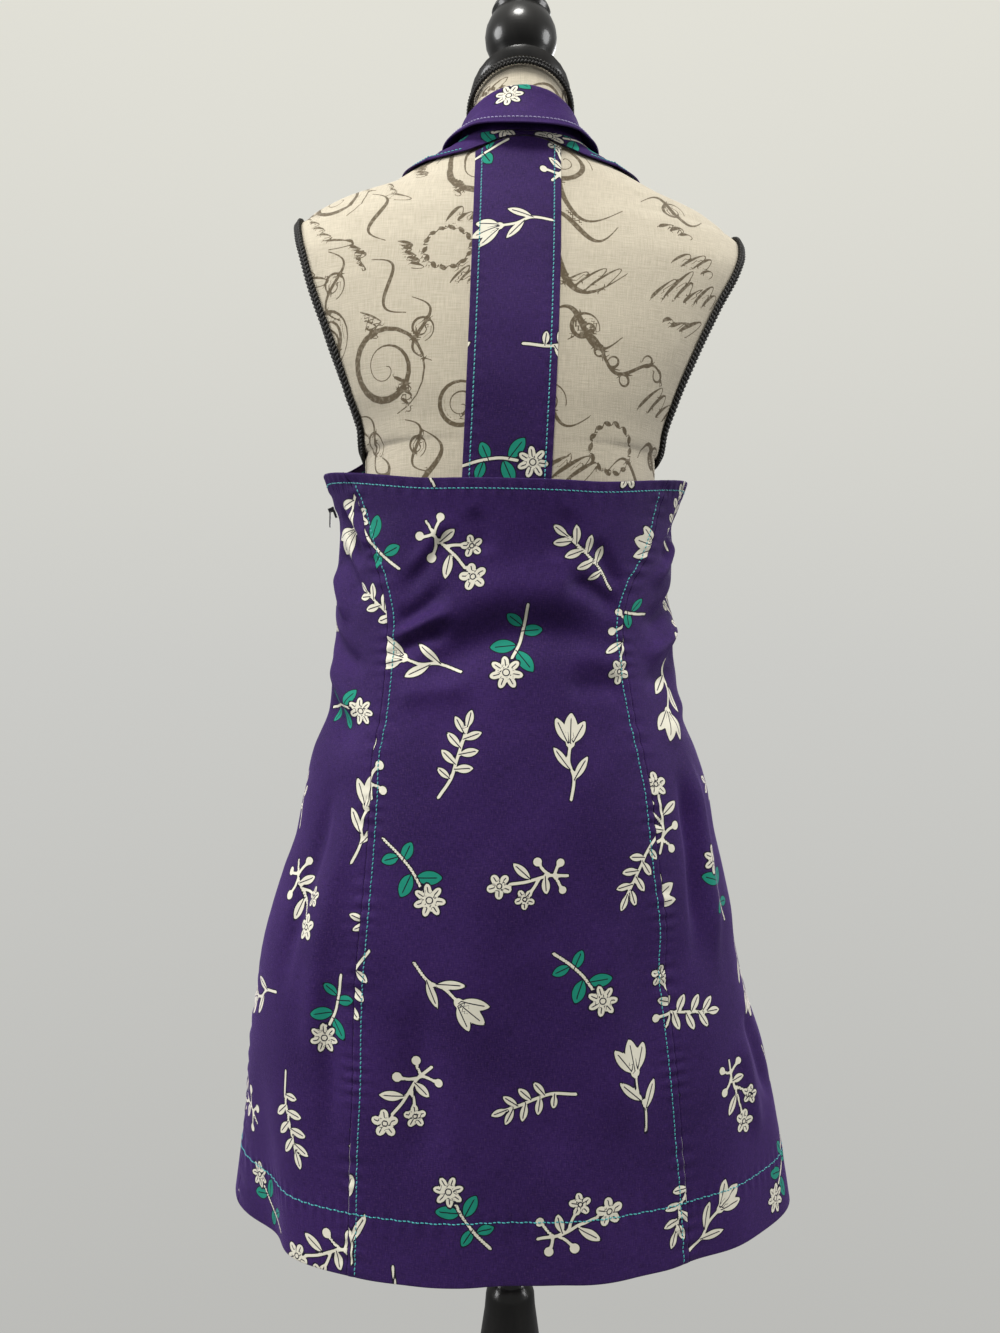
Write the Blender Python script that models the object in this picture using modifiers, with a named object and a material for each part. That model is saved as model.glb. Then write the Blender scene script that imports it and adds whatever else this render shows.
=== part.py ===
"""Sleeveless halter dress on a limbless dress form and stand.

Metres, +Z up, origin on the floor under the pole. The wearer faces -Y, so the open back with its
strap faces +Y, and the wearer's left is +X.
Angles round the body are in degrees from the centre back, positive towards the wearer's left.
"""

import math

import bmesh
import bpy
import numpy as np
from mathutils import Matrix, Vector

WALL = 0.0014  # cloth thickness, turnings included
GAP = 0.0003  # between pieces that meet
SEAM_SPREAD = 1.4  # the gap as measured round the body, where the seams slant
HEM = 0.572  # height of the hem above the floor
BACK_EDGE = 1.1715  # height of the bodice's top edge at the centre back
SIDE_RISE = 0.015  # how much higher that edge is at the side seams
CLOTH_LIFT = 0.0014  # middle of the strap's cloth over the form's surface
BIB_LIFT = 0.0024  # the same for the bib, which spans the form's hollows
STRAP_WIDTH = 0.068
STRAP_TOP = 1.4498
STRAP_TOP_CURVE = 7.8  # its top edge falls by this times the square of the way from the centre back
STRAP_TUCK = 0.022  # length of strap hidden behind the bodice
STRAP_LINE = (
    # z, middle of the strap's width
    (1.149, 0.0160),
    (1.450, 0.0055),
)

POLE_RADIUS = 0.0125
BASE_RADIUS = 0.170
NECK_TOP = 1.5028  # middle of the neck's top, which slopes up to the back
NECK_RISE = 0.0223  # how much higher that top is at the back
NECK_FOOT = 1.4605  # below this level the form's rings are flat
NECK_RADIUS = 0.0410
BRAID_RADIUS = 0.0036
NECK_BRAID_RADIUS = 0.0030
NECK_BRAID_DROP = 0.0040  # its middle below the neck's top
PLATE_LOW = 1.203  # armhole plates of the form: lowest and highest points
PLATE_HIGH = 1.394
PLATE_BULGE = 0.12  # how far the form's side would pass the flat plate, as a share
PLATE_SLOPE = 0.33  # run over rise of the plates, which lean out upwards
PLATE_LEAST = 0.006  # least half depth kept for the plate's corners above and below it
PLATE_STEPS = 28  # corners round each plate
BRAID_GAP = 0.0006
BRAID_TURN_HIGH = 0.8  # share of height in a braid's way out at its plate's top, a sharp turn
BRAID_TURN_LOW = 0.1  # the same at its lowest point, where the form hardly turns

# Sections of the form: half width, depth to back and front, squareness, sideways sway
BODY = (
    # z, half_width, back, front, square, sway
    (0.800, 0.140, 0.092, 0.092, 2.2, 0.004),
    (0.860, 0.152, 0.098, 0.102, 2.2, 0.004),
    (0.920, 0.148, 0.096, 0.102, 2.2, 0.005),
    (0.980, 0.132, 0.088, 0.098, 2.2, 0.006),
    (1.060, 0.120, 0.079, 0.091, 2.1, 0.006),
    (1.120, 0.121, 0.087, 0.100, 2.2, 0.006),
    (1.170, 0.122, 0.096, 0.112, 2.3, 0.006),
    (1.215, 0.1215, 0.100, 0.126, 2.4, 0.0065),
    (1.245, 0.1300, 0.102, 0.126, 2.5, 0.0075),
    (1.280, 0.1430, 0.101, 0.119, 2.6, 0.0065),
    (1.320, 0.1600, 0.096, 0.104, 2.6, 0.0045),
    (1.355, 0.1745, 0.089, 0.088, 2.6, 0.0002),
    (1.372, 0.1797, 0.084, 0.080, 2.4, -0.0007),
    (1.386, 0.1815, 0.080, 0.074, 2.2, -0.0005),
    (1.396, 0.1800, 0.0765, 0.069, 2.0, -0.0002),
    (1.411, 0.1640, 0.071, 0.062, 1.8, -0.0020),
    (1.4265, 0.1240, 0.067, 0.056, 1.75, -0.0045),
    (1.4405, 0.0960, 0.063, 0.052, 1.8, -0.0015),
    (1.4515, 0.0700, 0.0600, 0.050, 1.9, 0.0),
    (1.4605, 0.0560, 0.0570, 0.0455, 2.0, 0.0),
    (1.470, 0.0470, 0.0530, 0.0420, 2.0, 0.0),
    (1.485, 0.0411, 0.0485, 0.0405, 2.0, 0.0),
    (1.500, 0.0403, 0.0440, 0.0405, 2.0, 0.0),
    (1.510, 0.0403, 0.0413, 0.0405, 2.0, 0.0),
    (1.526, 0.0403, 0.0405, 0.0405, 2.0, 0.0),
)

# Sections of the dress from the hem to the underarm, in the same terms
DRESS = (
    # z, half_width, back, front, square, sway
    (0.572, 0.2330, 0.1160, 0.152, 2.0, -0.0025),
    (0.620, 0.2280, 0.1155, 0.149, 2.0, -0.0010),
    (0.664, 0.2230, 0.1150, 0.146, 2.0, 0.0017),
    (0.712, 0.2170, 0.1150, 0.142, 2.0, 0.0047),
    (0.760, 0.2060, 0.1148, 0.138, 2.05, 0.0085),
    (0.796, 0.1995, 0.1145, 0.135, 2.05, 0.0105),
    (0.830, 0.1930, 0.1145, 0.132, 2.1, 0.0085),
    (0.860, 0.1850, 0.1140, 0.129, 2.1, 0.0070),
    (0.892, 0.1755, 0.1125, 0.126, 2.15, 0.0055),
    (0.928, 0.1690, 0.1095, 0.122, 2.15, 0.0055),
    (0.960, 0.1610, 0.1050, 0.119, 2.2, 0.0076),
    (0.995, 0.1475, 0.0995, 0.117, 2.2, 0.0082),
    (1.030, 0.1440, 0.0950, 0.116, 2.2, 0.0090),
    (1.060, 0.1420, 0.0930, 0.117, 2.2, 0.0096),
    (1.108, 0.1400, 0.0950, 0.121, 2.2, 0.0093),
    (1.145, 0.1400, 0.1000, 0.126, 2.2, 0.0080),
    (1.166, 0.1455, 0.1030, 0.129, 2.2, 0.0085),
    (1.190, 0.1545, 0.1055, 0.1315, 2.3, 0.0095),
)
DRESS_MEETS_FORM = (1.188, 1.240)  # the bib closes on to the form between these heights

# Folds of the skirt: ridges (+) and troughs (-) that fade out upwards
FOLDS = (
    # angle, half_width, depth_at_hem, top
    (110.0, 13.0, 0.030, 0.90),
    (81.0, 10.0, -0.026, 0.84),
    (62.0, 9.0, -0.004, 0.80),
    (30.0, 12.0, 0.003, 0.76),
    (8.0, 10.0, -0.002, 0.72),
    (-26.0, 12.0, 0.004, 0.76),
    (-58.0, 7.0, -0.006, 0.74),
    (-74.0, 8.0, -0.005, 0.90),
    (-92.0, 9.0, 0.007, 0.88),
    (-116.0, 11.0, 0.014, 0.92),
    (-136.0, 10.0, -0.011, 0.88),
    (-157.0, 11.0, 0.010, 0.86),
    (137.0, 10.0, -0.012, 0.88),
    (158.0, 11.0, 0.011, 0.90),
    (180.0, 9.0, -0.007, 0.84),
)

# Seam lines, as angles
SEAMS = (
    # z, left_princess, right_princess, left_side, right_side
    (0.572, 54.5, -54.0, 94.0, -97.0),
    (0.640, 54.0, -53.5, 94.0, -97.0),
    (0.740, 51.5, -53.0, 93.5, -97.0),
    (0.820, 50.5, -52.5, 93.5, -97.0),
    (0.900, 51.5, -50.0, 93.0, -97.0),
    (0.960, 52.5, -50.0, 94.0, -98.0),
    (1.010, 52.7, -49.5, 96.0, -98.0),
    (1.060, 52.7, -48.8, 97.0, -98.0),
    (1.095, 55.5, -52.5, 97.0, -97.0),
    (1.118, 59.0, -58.5, 95.0, -96.0),
    (1.145, 62.5, -61.0, 92.0, -93.0),
    (1.190, 66.5, -62.0, 91.0, -91.0),
)

# The front above the underarm: its neck edge and its armhole edge, on the wearer's left
BIB = (
    # neck_angle, neck_z, arm_angle, arm_z
    (180.0, 1.214, 113.0, 1.204),
    (180.0, 1.246, 127.0, 1.236),
    (180.0, 1.278, 134.0, 1.276),
    (180.0, 1.306, 138.0, 1.316),
    (170.0, 1.345, 138.0, 1.350),
    (161.0, 1.382, 134.0, 1.382),
    (148.0, 1.420, 122.0, 1.412),
    (131.0, 1.446, 107.0, 1.428),
    (110.0, 1.459, 92.0, 1.4385),
    (90.0, 1.4625, 75.0, 1.4375),
    (66.0, 1.4600, 60.0, 1.4375),
    (46.0, 1.4570, 44.0, 1.4385),
    (32.5, 1.4550, 31.0, 1.4428),
    (16.0, 1.4540, 15.5, 1.4488),
    (0.3, 1.4535, 0.3, 1.4505),
)

# The collar on the wearer's left, from the centre back to its point
COLLAR = (
    # neck_angle, neck_z, fold_angle, fold_z, fold_lift, edge_angle, edge_z, edge_lift
    (0.0, 1.4535, 0.0, 1.4885, 0.0105, 0.0, 1.4480, 0.0171),
    (16.0, 1.4540, 16.0, 1.4880, 0.0098, 17.0, 1.4490, 0.0162),
    (32.5, 1.4550, 32.0, 1.4868, 0.0080, 34.0, 1.4510, 0.0138),
    (46.0, 1.4570, 48.0, 1.4857, 0.0062, 51.0, 1.4530, 0.0098),
    (66.0, 1.4600, 67.0, 1.4850, 0.0054, 70.0, 1.4550, 0.0082),
    (90.0, 1.4625, 90.0, 1.4835, 0.0054, 90.0, 1.4560, 0.0076),
    (110.0, 1.4590, 111.0, 1.4765, 0.0046, 101.0, 1.4430, 0.0072),
    (131.0, 1.4460, 133.5, 1.4590, 0.0034, 110.0, 1.4230, 0.0070),
    (148.0, 1.4200, 151.5, 1.4290, 0.0028, 120.0, 1.4000, 0.0068),
    (161.0, 1.3820, 164.5, 1.3870, 0.0026, 131.0, 1.3720, 0.0068),
    (170.0, 1.3450, 173.5, 1.3485, 0.0026, 141.0, 1.3420, 0.0068),
    (176.2, 1.3255, 178.4, 1.3270, 0.0026, 149.0, 1.3180, 0.0068),
)
COLLAR_STEP = 0.0012  # how far the collar's base stands past the neck edge of the front
FOLD_ROOM = 0.0021  # between the collar's two layers at the fold
FOLD_REACH = 0.0012

# Turned profiles: radius and height, from the top down
FINIAL = (
    # radius, z
    (0.0, 1.6320),
    (0.0060, 1.6312),
    (0.0130, 1.6275),
    (0.0175, 1.6210),
    (0.0190, 1.6130),
    (0.0175, 1.6050),
    (0.0150, 1.6000),
    (0.0170, 1.5945),
    (0.0238, 1.5905),
    (0.0252, 1.5870),
    (0.0238, 1.5840),
    (0.0268, 1.5790),
    (0.0298, 1.5720),
    (0.0307, 1.5650),
    (0.0298, 1.5580),
    (0.0262, 1.5500),
    (0.0215, 1.5445),
    (0.0200, 1.5390),
    (0.0205, 1.5290),
    (0.0260, 1.5200),
    (0.0340, 1.5165),
    (0.0400, 1.5143),
    (0.0432, 1.5110),
    (0.0436, 1.5070),
    (0.0425, 1.5031),
    (0.0, 1.5031),
)
CAP_SLOPE = (1.5165, 1.5390)  # the cap lies on the neck's slope below these heights, and is upright above
COLUMN = (
    # radius, z
    (0.0, 0.7997),
    (POLE_RADIUS, 0.7997),
    (POLE_RADIUS, 0.5100),
    (0.0150, 0.5060),
    (0.0195, 0.5000),
    (0.0206, 0.4965),
    (0.0215, 0.4850),
    (0.0250, 0.4610),
    (0.0285, 0.4300),
    (0.0300, 0.4000),
    (0.0285, 0.3700),
    (0.0235, 0.3420),
    (0.0190, 0.3280),
    (0.0230, 0.3200),
    (0.0240, 0.3130),
    (0.0205, 0.3050),
    (0.0180, 0.2800),
    (0.0195, 0.2300),
    (0.0225, 0.1700),
    (0.0260, 0.1300),
    (0.0230, 0.1180),
    (0.0300, 0.1080),
    (0.0330, 0.0980),
    (0.0330, 0.0600),
    (0.0, 0.0600),
)
BASE = (
    # radius, z
    (0.0, 0.0597),
    (0.0480, 0.0597),
    (0.0540, 0.0560),
    (0.0580, 0.0490),
    (0.0900, 0.0400),
    (0.1300, 0.0300),
    (0.1520, 0.0250),
    (0.1640, 0.0215),
    (BASE_RADIUS, 0.0150),
    (BASE_RADIUS, 0.0060),
    (0.1670, 0.0),
    (0.0, 0.0),
)

ROW_CROWDING = 0.13  # how much closer the rows of a panel lie at its top than at the hem

# Zip at the left side seam
SLIDER_Z = 1.1600  # height of the slider's middle
SLIDER_LENGTH = 0.0090
SLIDER_WIDTH = 0.0050
SLIDER_DEPTH = 0.0018
SLIDER_SEAT = 0.0012  # between the slider's flat back and the curved cloth, at its middle
EAR_WIDTH = 0.0008
EAR_HEIGHT = 0.0030
EAR_SINK = 0.0012  # how far the ears reach into the slider
EAR_INSET = 0.0002  # from the slider's sides and end
PIN_RADIUS = 0.00055
KNUCKLE_RADIUS = 0.00135
ROD_STEPS = 16
PULL_THICKNESS = 0.0010
PULL_OUTLINE = (
    # distance below the pin, half width
    (0.0011, 0.0012),
    (0.0035, 0.0012),
    (0.0080, 0.0016),
    (0.0115, 0.0018),
    (0.0136, 0.0015),
    (0.0144, 0.0008),
)


def clear_scene():
    for old in list(bpy.data.objects):
        bpy.data.objects.remove(old, do_unlink=True)


def new_collection(name, hidden=False):
    collection = bpy.data.collections.new(name)
    bpy.context.scene.collection.children.link(collection)
    collection.hide_render = hidden
    return collection


def material(name, color, roughness, metallic=0.0):
    made = bpy.data.materials.new(name)
    made.use_nodes = True
    shader = made.node_tree.nodes["Principled BSDF"]
    shader.inputs["Base Color"].default_value = (*color, 1.0)
    shader.inputs["Roughness"].default_value = roughness
    shader.inputs["Metallic"].default_value = metallic
    return made


def curve_at(table, column, at):
    """A table's column as a smooth curve over its first column, without overshoot."""
    rows = np.array(table, float)
    x, y = rows[:, 0], rows[:, column]
    run = np.diff(x)
    rise = np.diff(y) / run
    slope = np.zeros_like(y)
    slope[0], slope[-1] = rise[0], rise[-1]
    same_way = rise[:-1] * rise[1:] > 0
    before, after = (np.where(same_way, part, 1) for part in (rise[:-1], rise[1:]))
    mean = (run[:-1] + run[1:]) / (run[:-1] / after + run[1:] / before)
    slope[1:-1] = np.where(same_way, mean, 0)
    at = np.clip(at, x[0], x[-1])
    i = np.clip(np.searchsorted(x, at) - 1, 0, len(run) - 1)
    u = (at - x[i]) / run[i]
    start = (2 * u**3 - 3 * u**2 + 1) * y[i] + (u**3 - 2 * u**2 + u) * run[i] * slope[i]
    return start + (3 * u**2 - 2 * u**3) * y[i + 1] + (u**3 - u**2) * run[i] * slope[i + 1]


def smooth_step(low, high, at):
    u = np.clip((at - low) / (high - low), 0, 1)
    return u * u * (3 - 2 * u)


def section_radius(table, angle, z):
    """Distance from the section's centre to its rim, a superellipse with unlike back and front."""
    half, back, front, square = (curve_at(table, column, z) for column in (1, 2, 3, 4))
    if table is BODY:
        middle = (PLATE_LOW + PLATE_HIGH) / 2
        reach = (z - middle) / ((PLATE_HIGH - PLATE_LOW) / 2)
        half = half * (1 + PLATE_BULGE * np.sqrt(np.clip(1 - reach**2, 0, 1)))
    across = np.abs(np.sin(angle)) / half
    along = np.abs(np.cos(angle)) / np.where(np.cos(angle) >= 0, back, front)
    return (across**square + along**square) ** (-1 / square)


def fold_depth(angle, z):
    depth = np.zeros(np.broadcast(angle, z).shape)
    for centre, half_width, at_hem, top in FOLDS:
        away = np.degrees(angle) - centre
        away = (away + 180) % 360 - 180
        fade = np.clip((top - z) / (top - HEM), 0, 1)
        depth += at_hem * fade**1.5 * np.exp(-((away / half_width) ** 2))
    return depth


def body_point(angle, z):
    radius = section_radius(BODY, angle, z)
    sway = curve_at(BODY, 5, z)
    return np.stack([sway + radius * np.sin(angle), radius * np.cos(angle), z + 0 * radius], -1)


def dress_point(angle, z):
    on_form = smooth_step(*DRESS_MEETS_FORM, z)
    free = section_radius(DRESS, angle, z) + fold_depth(angle, z)
    radius = free * (1 - on_form) + section_radius(BODY, angle, z) * on_form
    sway = curve_at(DRESS, 5, z) * (1 - on_form) + curve_at(BODY, 5, z) * on_form
    return np.stack([sway + radius * np.sin(angle), radius * np.cos(angle), z + 0 * radius], -1)


def lifted(surface, angle, z, lift):
    """A point of a surface, moved out along the surface's normal. Angles in degrees."""
    angle, z = np.radians(np.asarray(angle, float)), np.asarray(z, float)
    step = 1e-4
    along = surface(angle + step, z) - surface(angle - step, z)
    up = surface(angle, z + step) - surface(angle, z - step)
    normal = np.cross(up, along)
    normal /= np.linalg.norm(normal, axis=-1, keepdims=True)
    return surface(angle, z) + normal * np.asarray(lift, float)[..., None]


def back_edge(angle):
    """Height of the bodice's top edge behind the side seams."""
    return BACK_EDGE + SIDE_RISE * smooth_step(30, 90, np.abs(angle))


def finish_mesh(collection, name, form, finish, smooth=False):
    bmesh.ops.recalc_face_normals(form, faces=form.faces[:])
    mesh = bpy.data.meshes.new(name)
    form.to_mesh(mesh)
    form.free()
    if smooth:
        mesh.shade_smooth()
    mesh.materials.append(finish)
    made = bpy.data.objects.new(name, mesh)
    collection.objects.link(made)
    return made


def cloth_object(collection, name, sheets, finish):
    """Sheets through rows of points, joined where they share points, with a wall's thickness."""
    form = bmesh.new()
    corners = {}

    def corner(point):
        key = tuple(np.round(point, 7))
        if key not in corners:
            corners[key] = form.verts.new(point)
        return corners[key]

    for sheet in sheets:
        rows = [[corner(point) for point in row] for row in sheet]
        for low, high in zip(rows, rows[1:]):
            for a, b, c, d in zip(low, low[1:], high[1:], high):
                form.faces.new((a, b, c, d))
    made = finish_mesh(collection, name, form, finish, smooth=True)
    solid = made.modifiers.new("Thickness", "SOLIDIFY")
    solid.thickness = WALL
    solid.offset = 0.0


def spaced(count, low=0.0, high=1.0):
    return np.linspace(low, high, count + 1)


def crowded_upwards(share):
    """Rows lie closer towards the top, where the bodice turns most."""
    return share + ROW_CROWDING * np.sin(np.pi * share)


def panel_rows(left, right, top, columns, rows):
    """Points of a panel between two seam lines, from the hem to its top edge."""
    across, up = np.meshgrid(spaced(columns), spaced(rows))
    up = crowded_upwards(up)
    z = HEM + up * (BACK_EDGE - HEM)
    for _ in range(3):
        angle = left(z) * (1 - across) + right(z) * across
        z = HEM + up * (top(angle) - HEM)
    angle = angle - np.sign(right(z) - left(z)) * half_gap(angle, z) * (2 * across - 1)
    return lifted(dress_point, angle, z, 0.0)


def half_gap(angle, z):
    """Half the gap at a seam, as an angle: each panel gives up one half."""
    return np.degrees(0.5 * GAP * SEAM_SPREAD / section_radius(DRESS, np.radians(angle), z))


def seam(column):
    return lambda z: curve_at(SEAMS, column, z)


def make_back(collection, finish):
    panels = {
        "back_centre": (seam(2), seam(1), 10, 20),
        "side_back_left": (seam(1), seam(3), 6, 20),
        "side_back_right": (seam(4), seam(2), 6, 20),
    }
    for name, (low, high, columns, rows) in panels.items():
        points = panel_rows(low, high, back_edge, columns, rows)
        cloth_object(collection, name, [points], finish)


def bib_edges(rows):
    """Both edges of the front above the underarm, at evenly spaced rows."""
    table = np.array([(i, *row) for i, row in enumerate(BIB)], float)
    at = np.linspace(0, len(BIB) - 1, rows)
    return [curve_at(table, column, at) for column in (1, 2, 3, 4)]


def make_front(collection, finish):
    """One piece: skirt and bodice front, then a bib that parts at the neck and runs round it."""
    half_columns, skirt_rows, bib_rows = 10, 20, 22
    halves = []
    for side, column in ((1, 3), (-1, 4)):
        across, up = np.meshgrid(spaced(half_columns), spaced(skirt_rows))
        up = crowded_upwards(up)
        underarm = BACK_EDGE + SIDE_RISE
        z = HEM + up * (underarm - HEM)
        seam_angle = np.abs(seam(column)(z))
        skirt = 180 + (seam_angle + half_gap(seam_angle, z) - 180) * across, z
        neck_angle, neck_z, arm_angle, arm_z = (edge[:, None] for edge in bib_edges(bib_rows))
        across = spaced(half_columns)[None, :]
        bib = neck_angle + (arm_angle - neck_angle) * across, neck_z + (arm_z - neck_z) * across
        angle, z = (np.concatenate(pair) for pair in zip(skirt, bib))
        lift = BIB_LIFT * smooth_step(*DRESS_MEETS_FORM, z)
        halves.append(lifted(dress_point, side * angle, z, lift))
    cloth_object(collection, "front", halves, finish)


def make_strap(collection, finish):
    """The strap from the collar down the open back, tucked behind the bodice."""
    low = BACK_EDGE - STRAP_TUCK
    across, up = np.meshgrid(spaced(4, -1, 1), spaced(16))
    off_centre = across * (STRAP_WIDTH / 2) + curve_at(STRAP_LINE, 1, STRAP_TOP)
    top = STRAP_TOP - STRAP_TOP_CURVE * off_centre**2
    z = low + up * (top - low)
    wanted = across * (STRAP_WIDTH / 2) + curve_at(STRAP_LINE, 1, z)
    angle = 0 * across
    for _ in range(8):
        points = lifted(body_point, angle, z, CLOTH_LIFT)
        off = (wanted - points[..., 0]) / section_radius(BODY, np.radians(angle), z)
        angle = angle + np.degrees(off)
    cloth_object(collection, "back_strap", [points], finish)


def collar_bases(rows, side):
    """The stand's lower edge: beside the front's neck edge, on its open side."""
    angle, z = side * rows[:, 0], rows[:, 1]
    on_form = lifted(body_point, angle, z, BIB_LIFT)
    normal = lifted(body_point, angle, z, 1.0 + BIB_LIFT) - on_form
    opening = side * np.cross(np.gradient(on_form, axis=0), normal)
    opening /= np.linalg.norm(opening, axis=-1, keepdims=True)
    return on_form + opening * COLLAR_STEP


def collar_section(row, side, base):
    """Points across the collar at one place: stand, fold and fall."""
    fold_angle, fold_z, fold_lift, edge_angle, edge_z, edge_lift = row[2:]
    fold = lifted(body_point, side * fold_angle, fold_z, fold_lift)
    edge = lifted(body_point, side * edge_angle, edge_z, edge_lift)
    fall_top = lifted(body_point, side * fold_angle, fold_z, fold_lift + FOLD_ROOM)
    to_base = (base - fold) / np.linalg.norm(base - fold)
    to_edge = (edge - fall_top) / np.linalg.norm(edge - fall_top)
    inner = fold + to_base * FOLD_REACH
    outer = fall_top + to_edge * FOLD_REACH
    crown = (fold + fall_top) / 2 - (to_base + to_edge) * FOLD_REACH / 4
    middle_angle, middle_z = (fold_angle + edge_angle) / 2, (fold_z + edge_z) / 2
    middle_lift = (fold_lift + FOLD_ROOM + edge_lift) / 2
    middle = lifted(body_point, side * middle_angle, middle_z, middle_lift)
    halves = (base + inner) / 2, (outer + middle) / 2, (middle + edge) / 2
    return [base, halves[0], inner, crown, outer, halves[1], middle, halves[2], edge]


def make_collar(collection, finish):
    stations = np.linspace(0, len(COLLAR) - 1, 19)
    table = np.array([(i, *row) for i, row in enumerate(COLLAR)], float)
    rows = np.stack([curve_at(table, column, stations) for column in range(1, 9)], -1)
    left, right = (
        [collar_section(row, side, base) for row, base in zip(rows, collar_bases(rows, side))]
        for side in (1, -1)
    )
    points = np.array(right[:0:-1] + left)
    cloth_object(collection, "collar", [points], finish)


def plate_turns():
    """Places round an armhole plate's edge, from its lowest point up the back, then down."""
    return np.linspace(-np.pi / 2, 3 * np.pi / 2, PLATE_STEPS, endpoint=False)


def plate_height(turn):
    return (PLATE_LOW + PLATE_HIGH) / 2 + (PLATE_HIGH - PLATE_LOW) / 2 * np.sin(turn)


def plate_depths(z):
    """How far an armhole plate reaches to the back and to the front at a height."""
    middle, reach = (PLATE_LOW + PLATE_HIGH) / 2, (PLATE_HIGH - PLATE_LOW) / 2
    bulge = 1 + PLATE_BULGE * np.sqrt(np.clip(1 - ((z - middle) / reach) ** 2, 0, 1))
    square = curve_at(BODY, 4, z)
    share = (1 - (1 / bulge) ** square) ** (1 / square)
    return curve_at(BODY, 2, z) * share, curve_at(BODY, 3, z) * share


def tilted(z, angle):
    """Height at an angle of a level of the form. The neck's levels slope more and more, to its top."""
    return z + NECK_RISE * smooth_step(NECK_FOOT, NECK_TOP, z) * np.cos(angle)


def form_ring(z):
    """One level of the form, with the same corners at each level on the plates' edges."""
    half, sway = curve_at(BODY, 1, z), curve_at(BODY, 5, z)
    back, front = (max(float(depth), PLATE_LEAST) for depth in plate_depths(z))
    back_angle, front_angle = math.atan2(half, back), math.pi - math.atan2(half, front)
    curved = np.concatenate([spaced(9, 0, back_angle), spaced(9, front_angle, math.pi)])
    points = body_point(curved, tilted(z, curved))
    points[:, 0] = np.minimum(points[:, 0] - sway, half)
    along = spaced(5, points[9, 1], points[10, 1])[1:-1]
    if PLATE_LOW < z < PLATE_HIGH:
        across = np.full_like(along, half)
    else:
        depth = np.where(along >= 0, curve_at(BODY, 2, z), curve_at(BODY, 3, z))
        square = curve_at(BODY, 4, z)
        across = half * (1 - np.abs(along / depth) ** square) ** (1 / square)
    plate = np.stack([across, along, tilted(z, np.arctan2(across, along))], -1)
    left = np.concatenate([points[:10], plate, points[10:]])
    right = left[-2:0:-1] * (-1, 1, 1)
    ring = np.concatenate([left, right])
    ring[:, 0] += sway
    return ring


def shoulder_heights():
    """Levels above the plates: those of the section table and the neck's top, and one between each two."""
    rows = [row[0] for row in BODY if PLATE_HIGH < row[0] < NECK_TOP - GAP] + [NECK_TOP]
    return np.interp(spaced(2 * len(rows) - 2), spaced(len(rows) - 1), rows)


def make_form(collection, finish):
    """The padded torso: lofted sections, flat at the armholes and closed at both ends."""
    heights = np.concatenate(
        [
            np.linspace(0.800, PLATE_LOW, 8)[:-1],
            plate_height(plate_turns()[: PLATE_STEPS // 2 + 1]),
            shoulder_heights(),
        ]
    )
    form = bmesh.new()
    rings = [[form.verts.new(point) for point in form_ring(z)] for z in heights]
    for low, high in zip(rings, rings[1:]):
        for i in range(len(low)):
            j = (i + 1) % len(low)
            form.faces.new((low[i], low[j], high[j], high[i]))
    form.faces.new(rings[0])
    form.faces.new(rings[-1])
    finish_mesh(collection, "form_body", form, finish, smooth=True)


def tube(collection, name, points, radius, finish, closed):
    """A round cord through the points."""
    line = bpy.data.curves.new(name, "CURVE")
    line.dimensions = "3D"
    line.bevel_depth = radius
    line.bevel_resolution = 2
    line.use_fill_caps = not closed
    spline = line.splines.new("POLY")
    spline.points.add(len(points) - 1)
    for item, point in zip(spline.points, points):
        item.co = (*point, 1.0)
    spline.use_cyclic_u = closed
    line.materials.append(finish)
    collection.objects.link(bpy.data.objects.new(name, line))


def plate_rim(side):
    """The oval edge of an armhole plate, moved out until a braid on it is clear of the form."""
    points = []
    for turn in plate_turns():
        z = float(plate_height(turn))
        back, front = (float(depth) for depth in plate_depths(z))
        y = back if math.cos(turn) >= 0 else -front
        rim = np.array([curve_at(BODY, 5, z) + side * float(curve_at(BODY, 1, z)), y, z])
        share = BRAID_TURN_HIGH if turn > 0 else BRAID_TURN_LOW
        turning = abs(math.cos(turn)) + share * abs(math.sin(turn))
        away = np.array([0.0, math.cos(turn), math.sin(turn)]) * turning
        out = np.array([side * 1.0, 0.0, -PLATE_SLOPE]) + away
        points.append(rim + out / np.linalg.norm(out) * (BRAID_RADIUS + BRAID_GAP))
    return points


def make_braids(collection, finish):
    for side, name in ((1, "armhole_braid_left"), (-1, "armhole_braid_right")):
        tube(collection, name, plate_rim(side), BRAID_RADIUS, finish, closed=True)
    turns = np.linspace(0, 2 * np.pi, 28, endpoint=False)
    radius = NECK_RADIUS + NECK_BRAID_RADIUS + GAP
    z = NECK_TOP + NECK_RISE * np.cos(turns) - NECK_BRAID_DROP
    ring = np.stack([radius * np.sin(turns), radius * np.cos(turns), z], -1)
    tube(collection, "neck_braid", ring, NECK_BRAID_RADIUS, finish, closed=True)


def turned(collection, name, profile, finish, steps, slope=None):
    """A solid of revolution about Z. Given two heights, it lies on the neck's slope below them."""
    form = bmesh.new()
    turns = np.linspace(0, 2 * np.pi, steps, endpoint=False)
    rings = []
    for radius, z in profile:
        share = 1 - smooth_step(*slope, z) if slope else 0.0
        if radius == 0:
            rings.append([form.verts.new((0.0, 0.0, z))])
            continue
        y = radius * np.cos(turns)
        heights = z + NECK_RISE / NECK_RADIUS * share * y
        ring = zip(radius * np.sin(turns), y, heights)
        rings.append([form.verts.new(point) for point in ring])
    for a, b in zip(rings, rings[1:]):
        for i in range(steps):
            j = (i + 1) % steps
            corners = (a[i % len(a)], a[j % len(a)], b[j % len(b)], b[i % len(b)])
            form.faces.new(dict.fromkeys(corners))
    finish_mesh(collection, name, form, finish, smooth=True)


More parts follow.
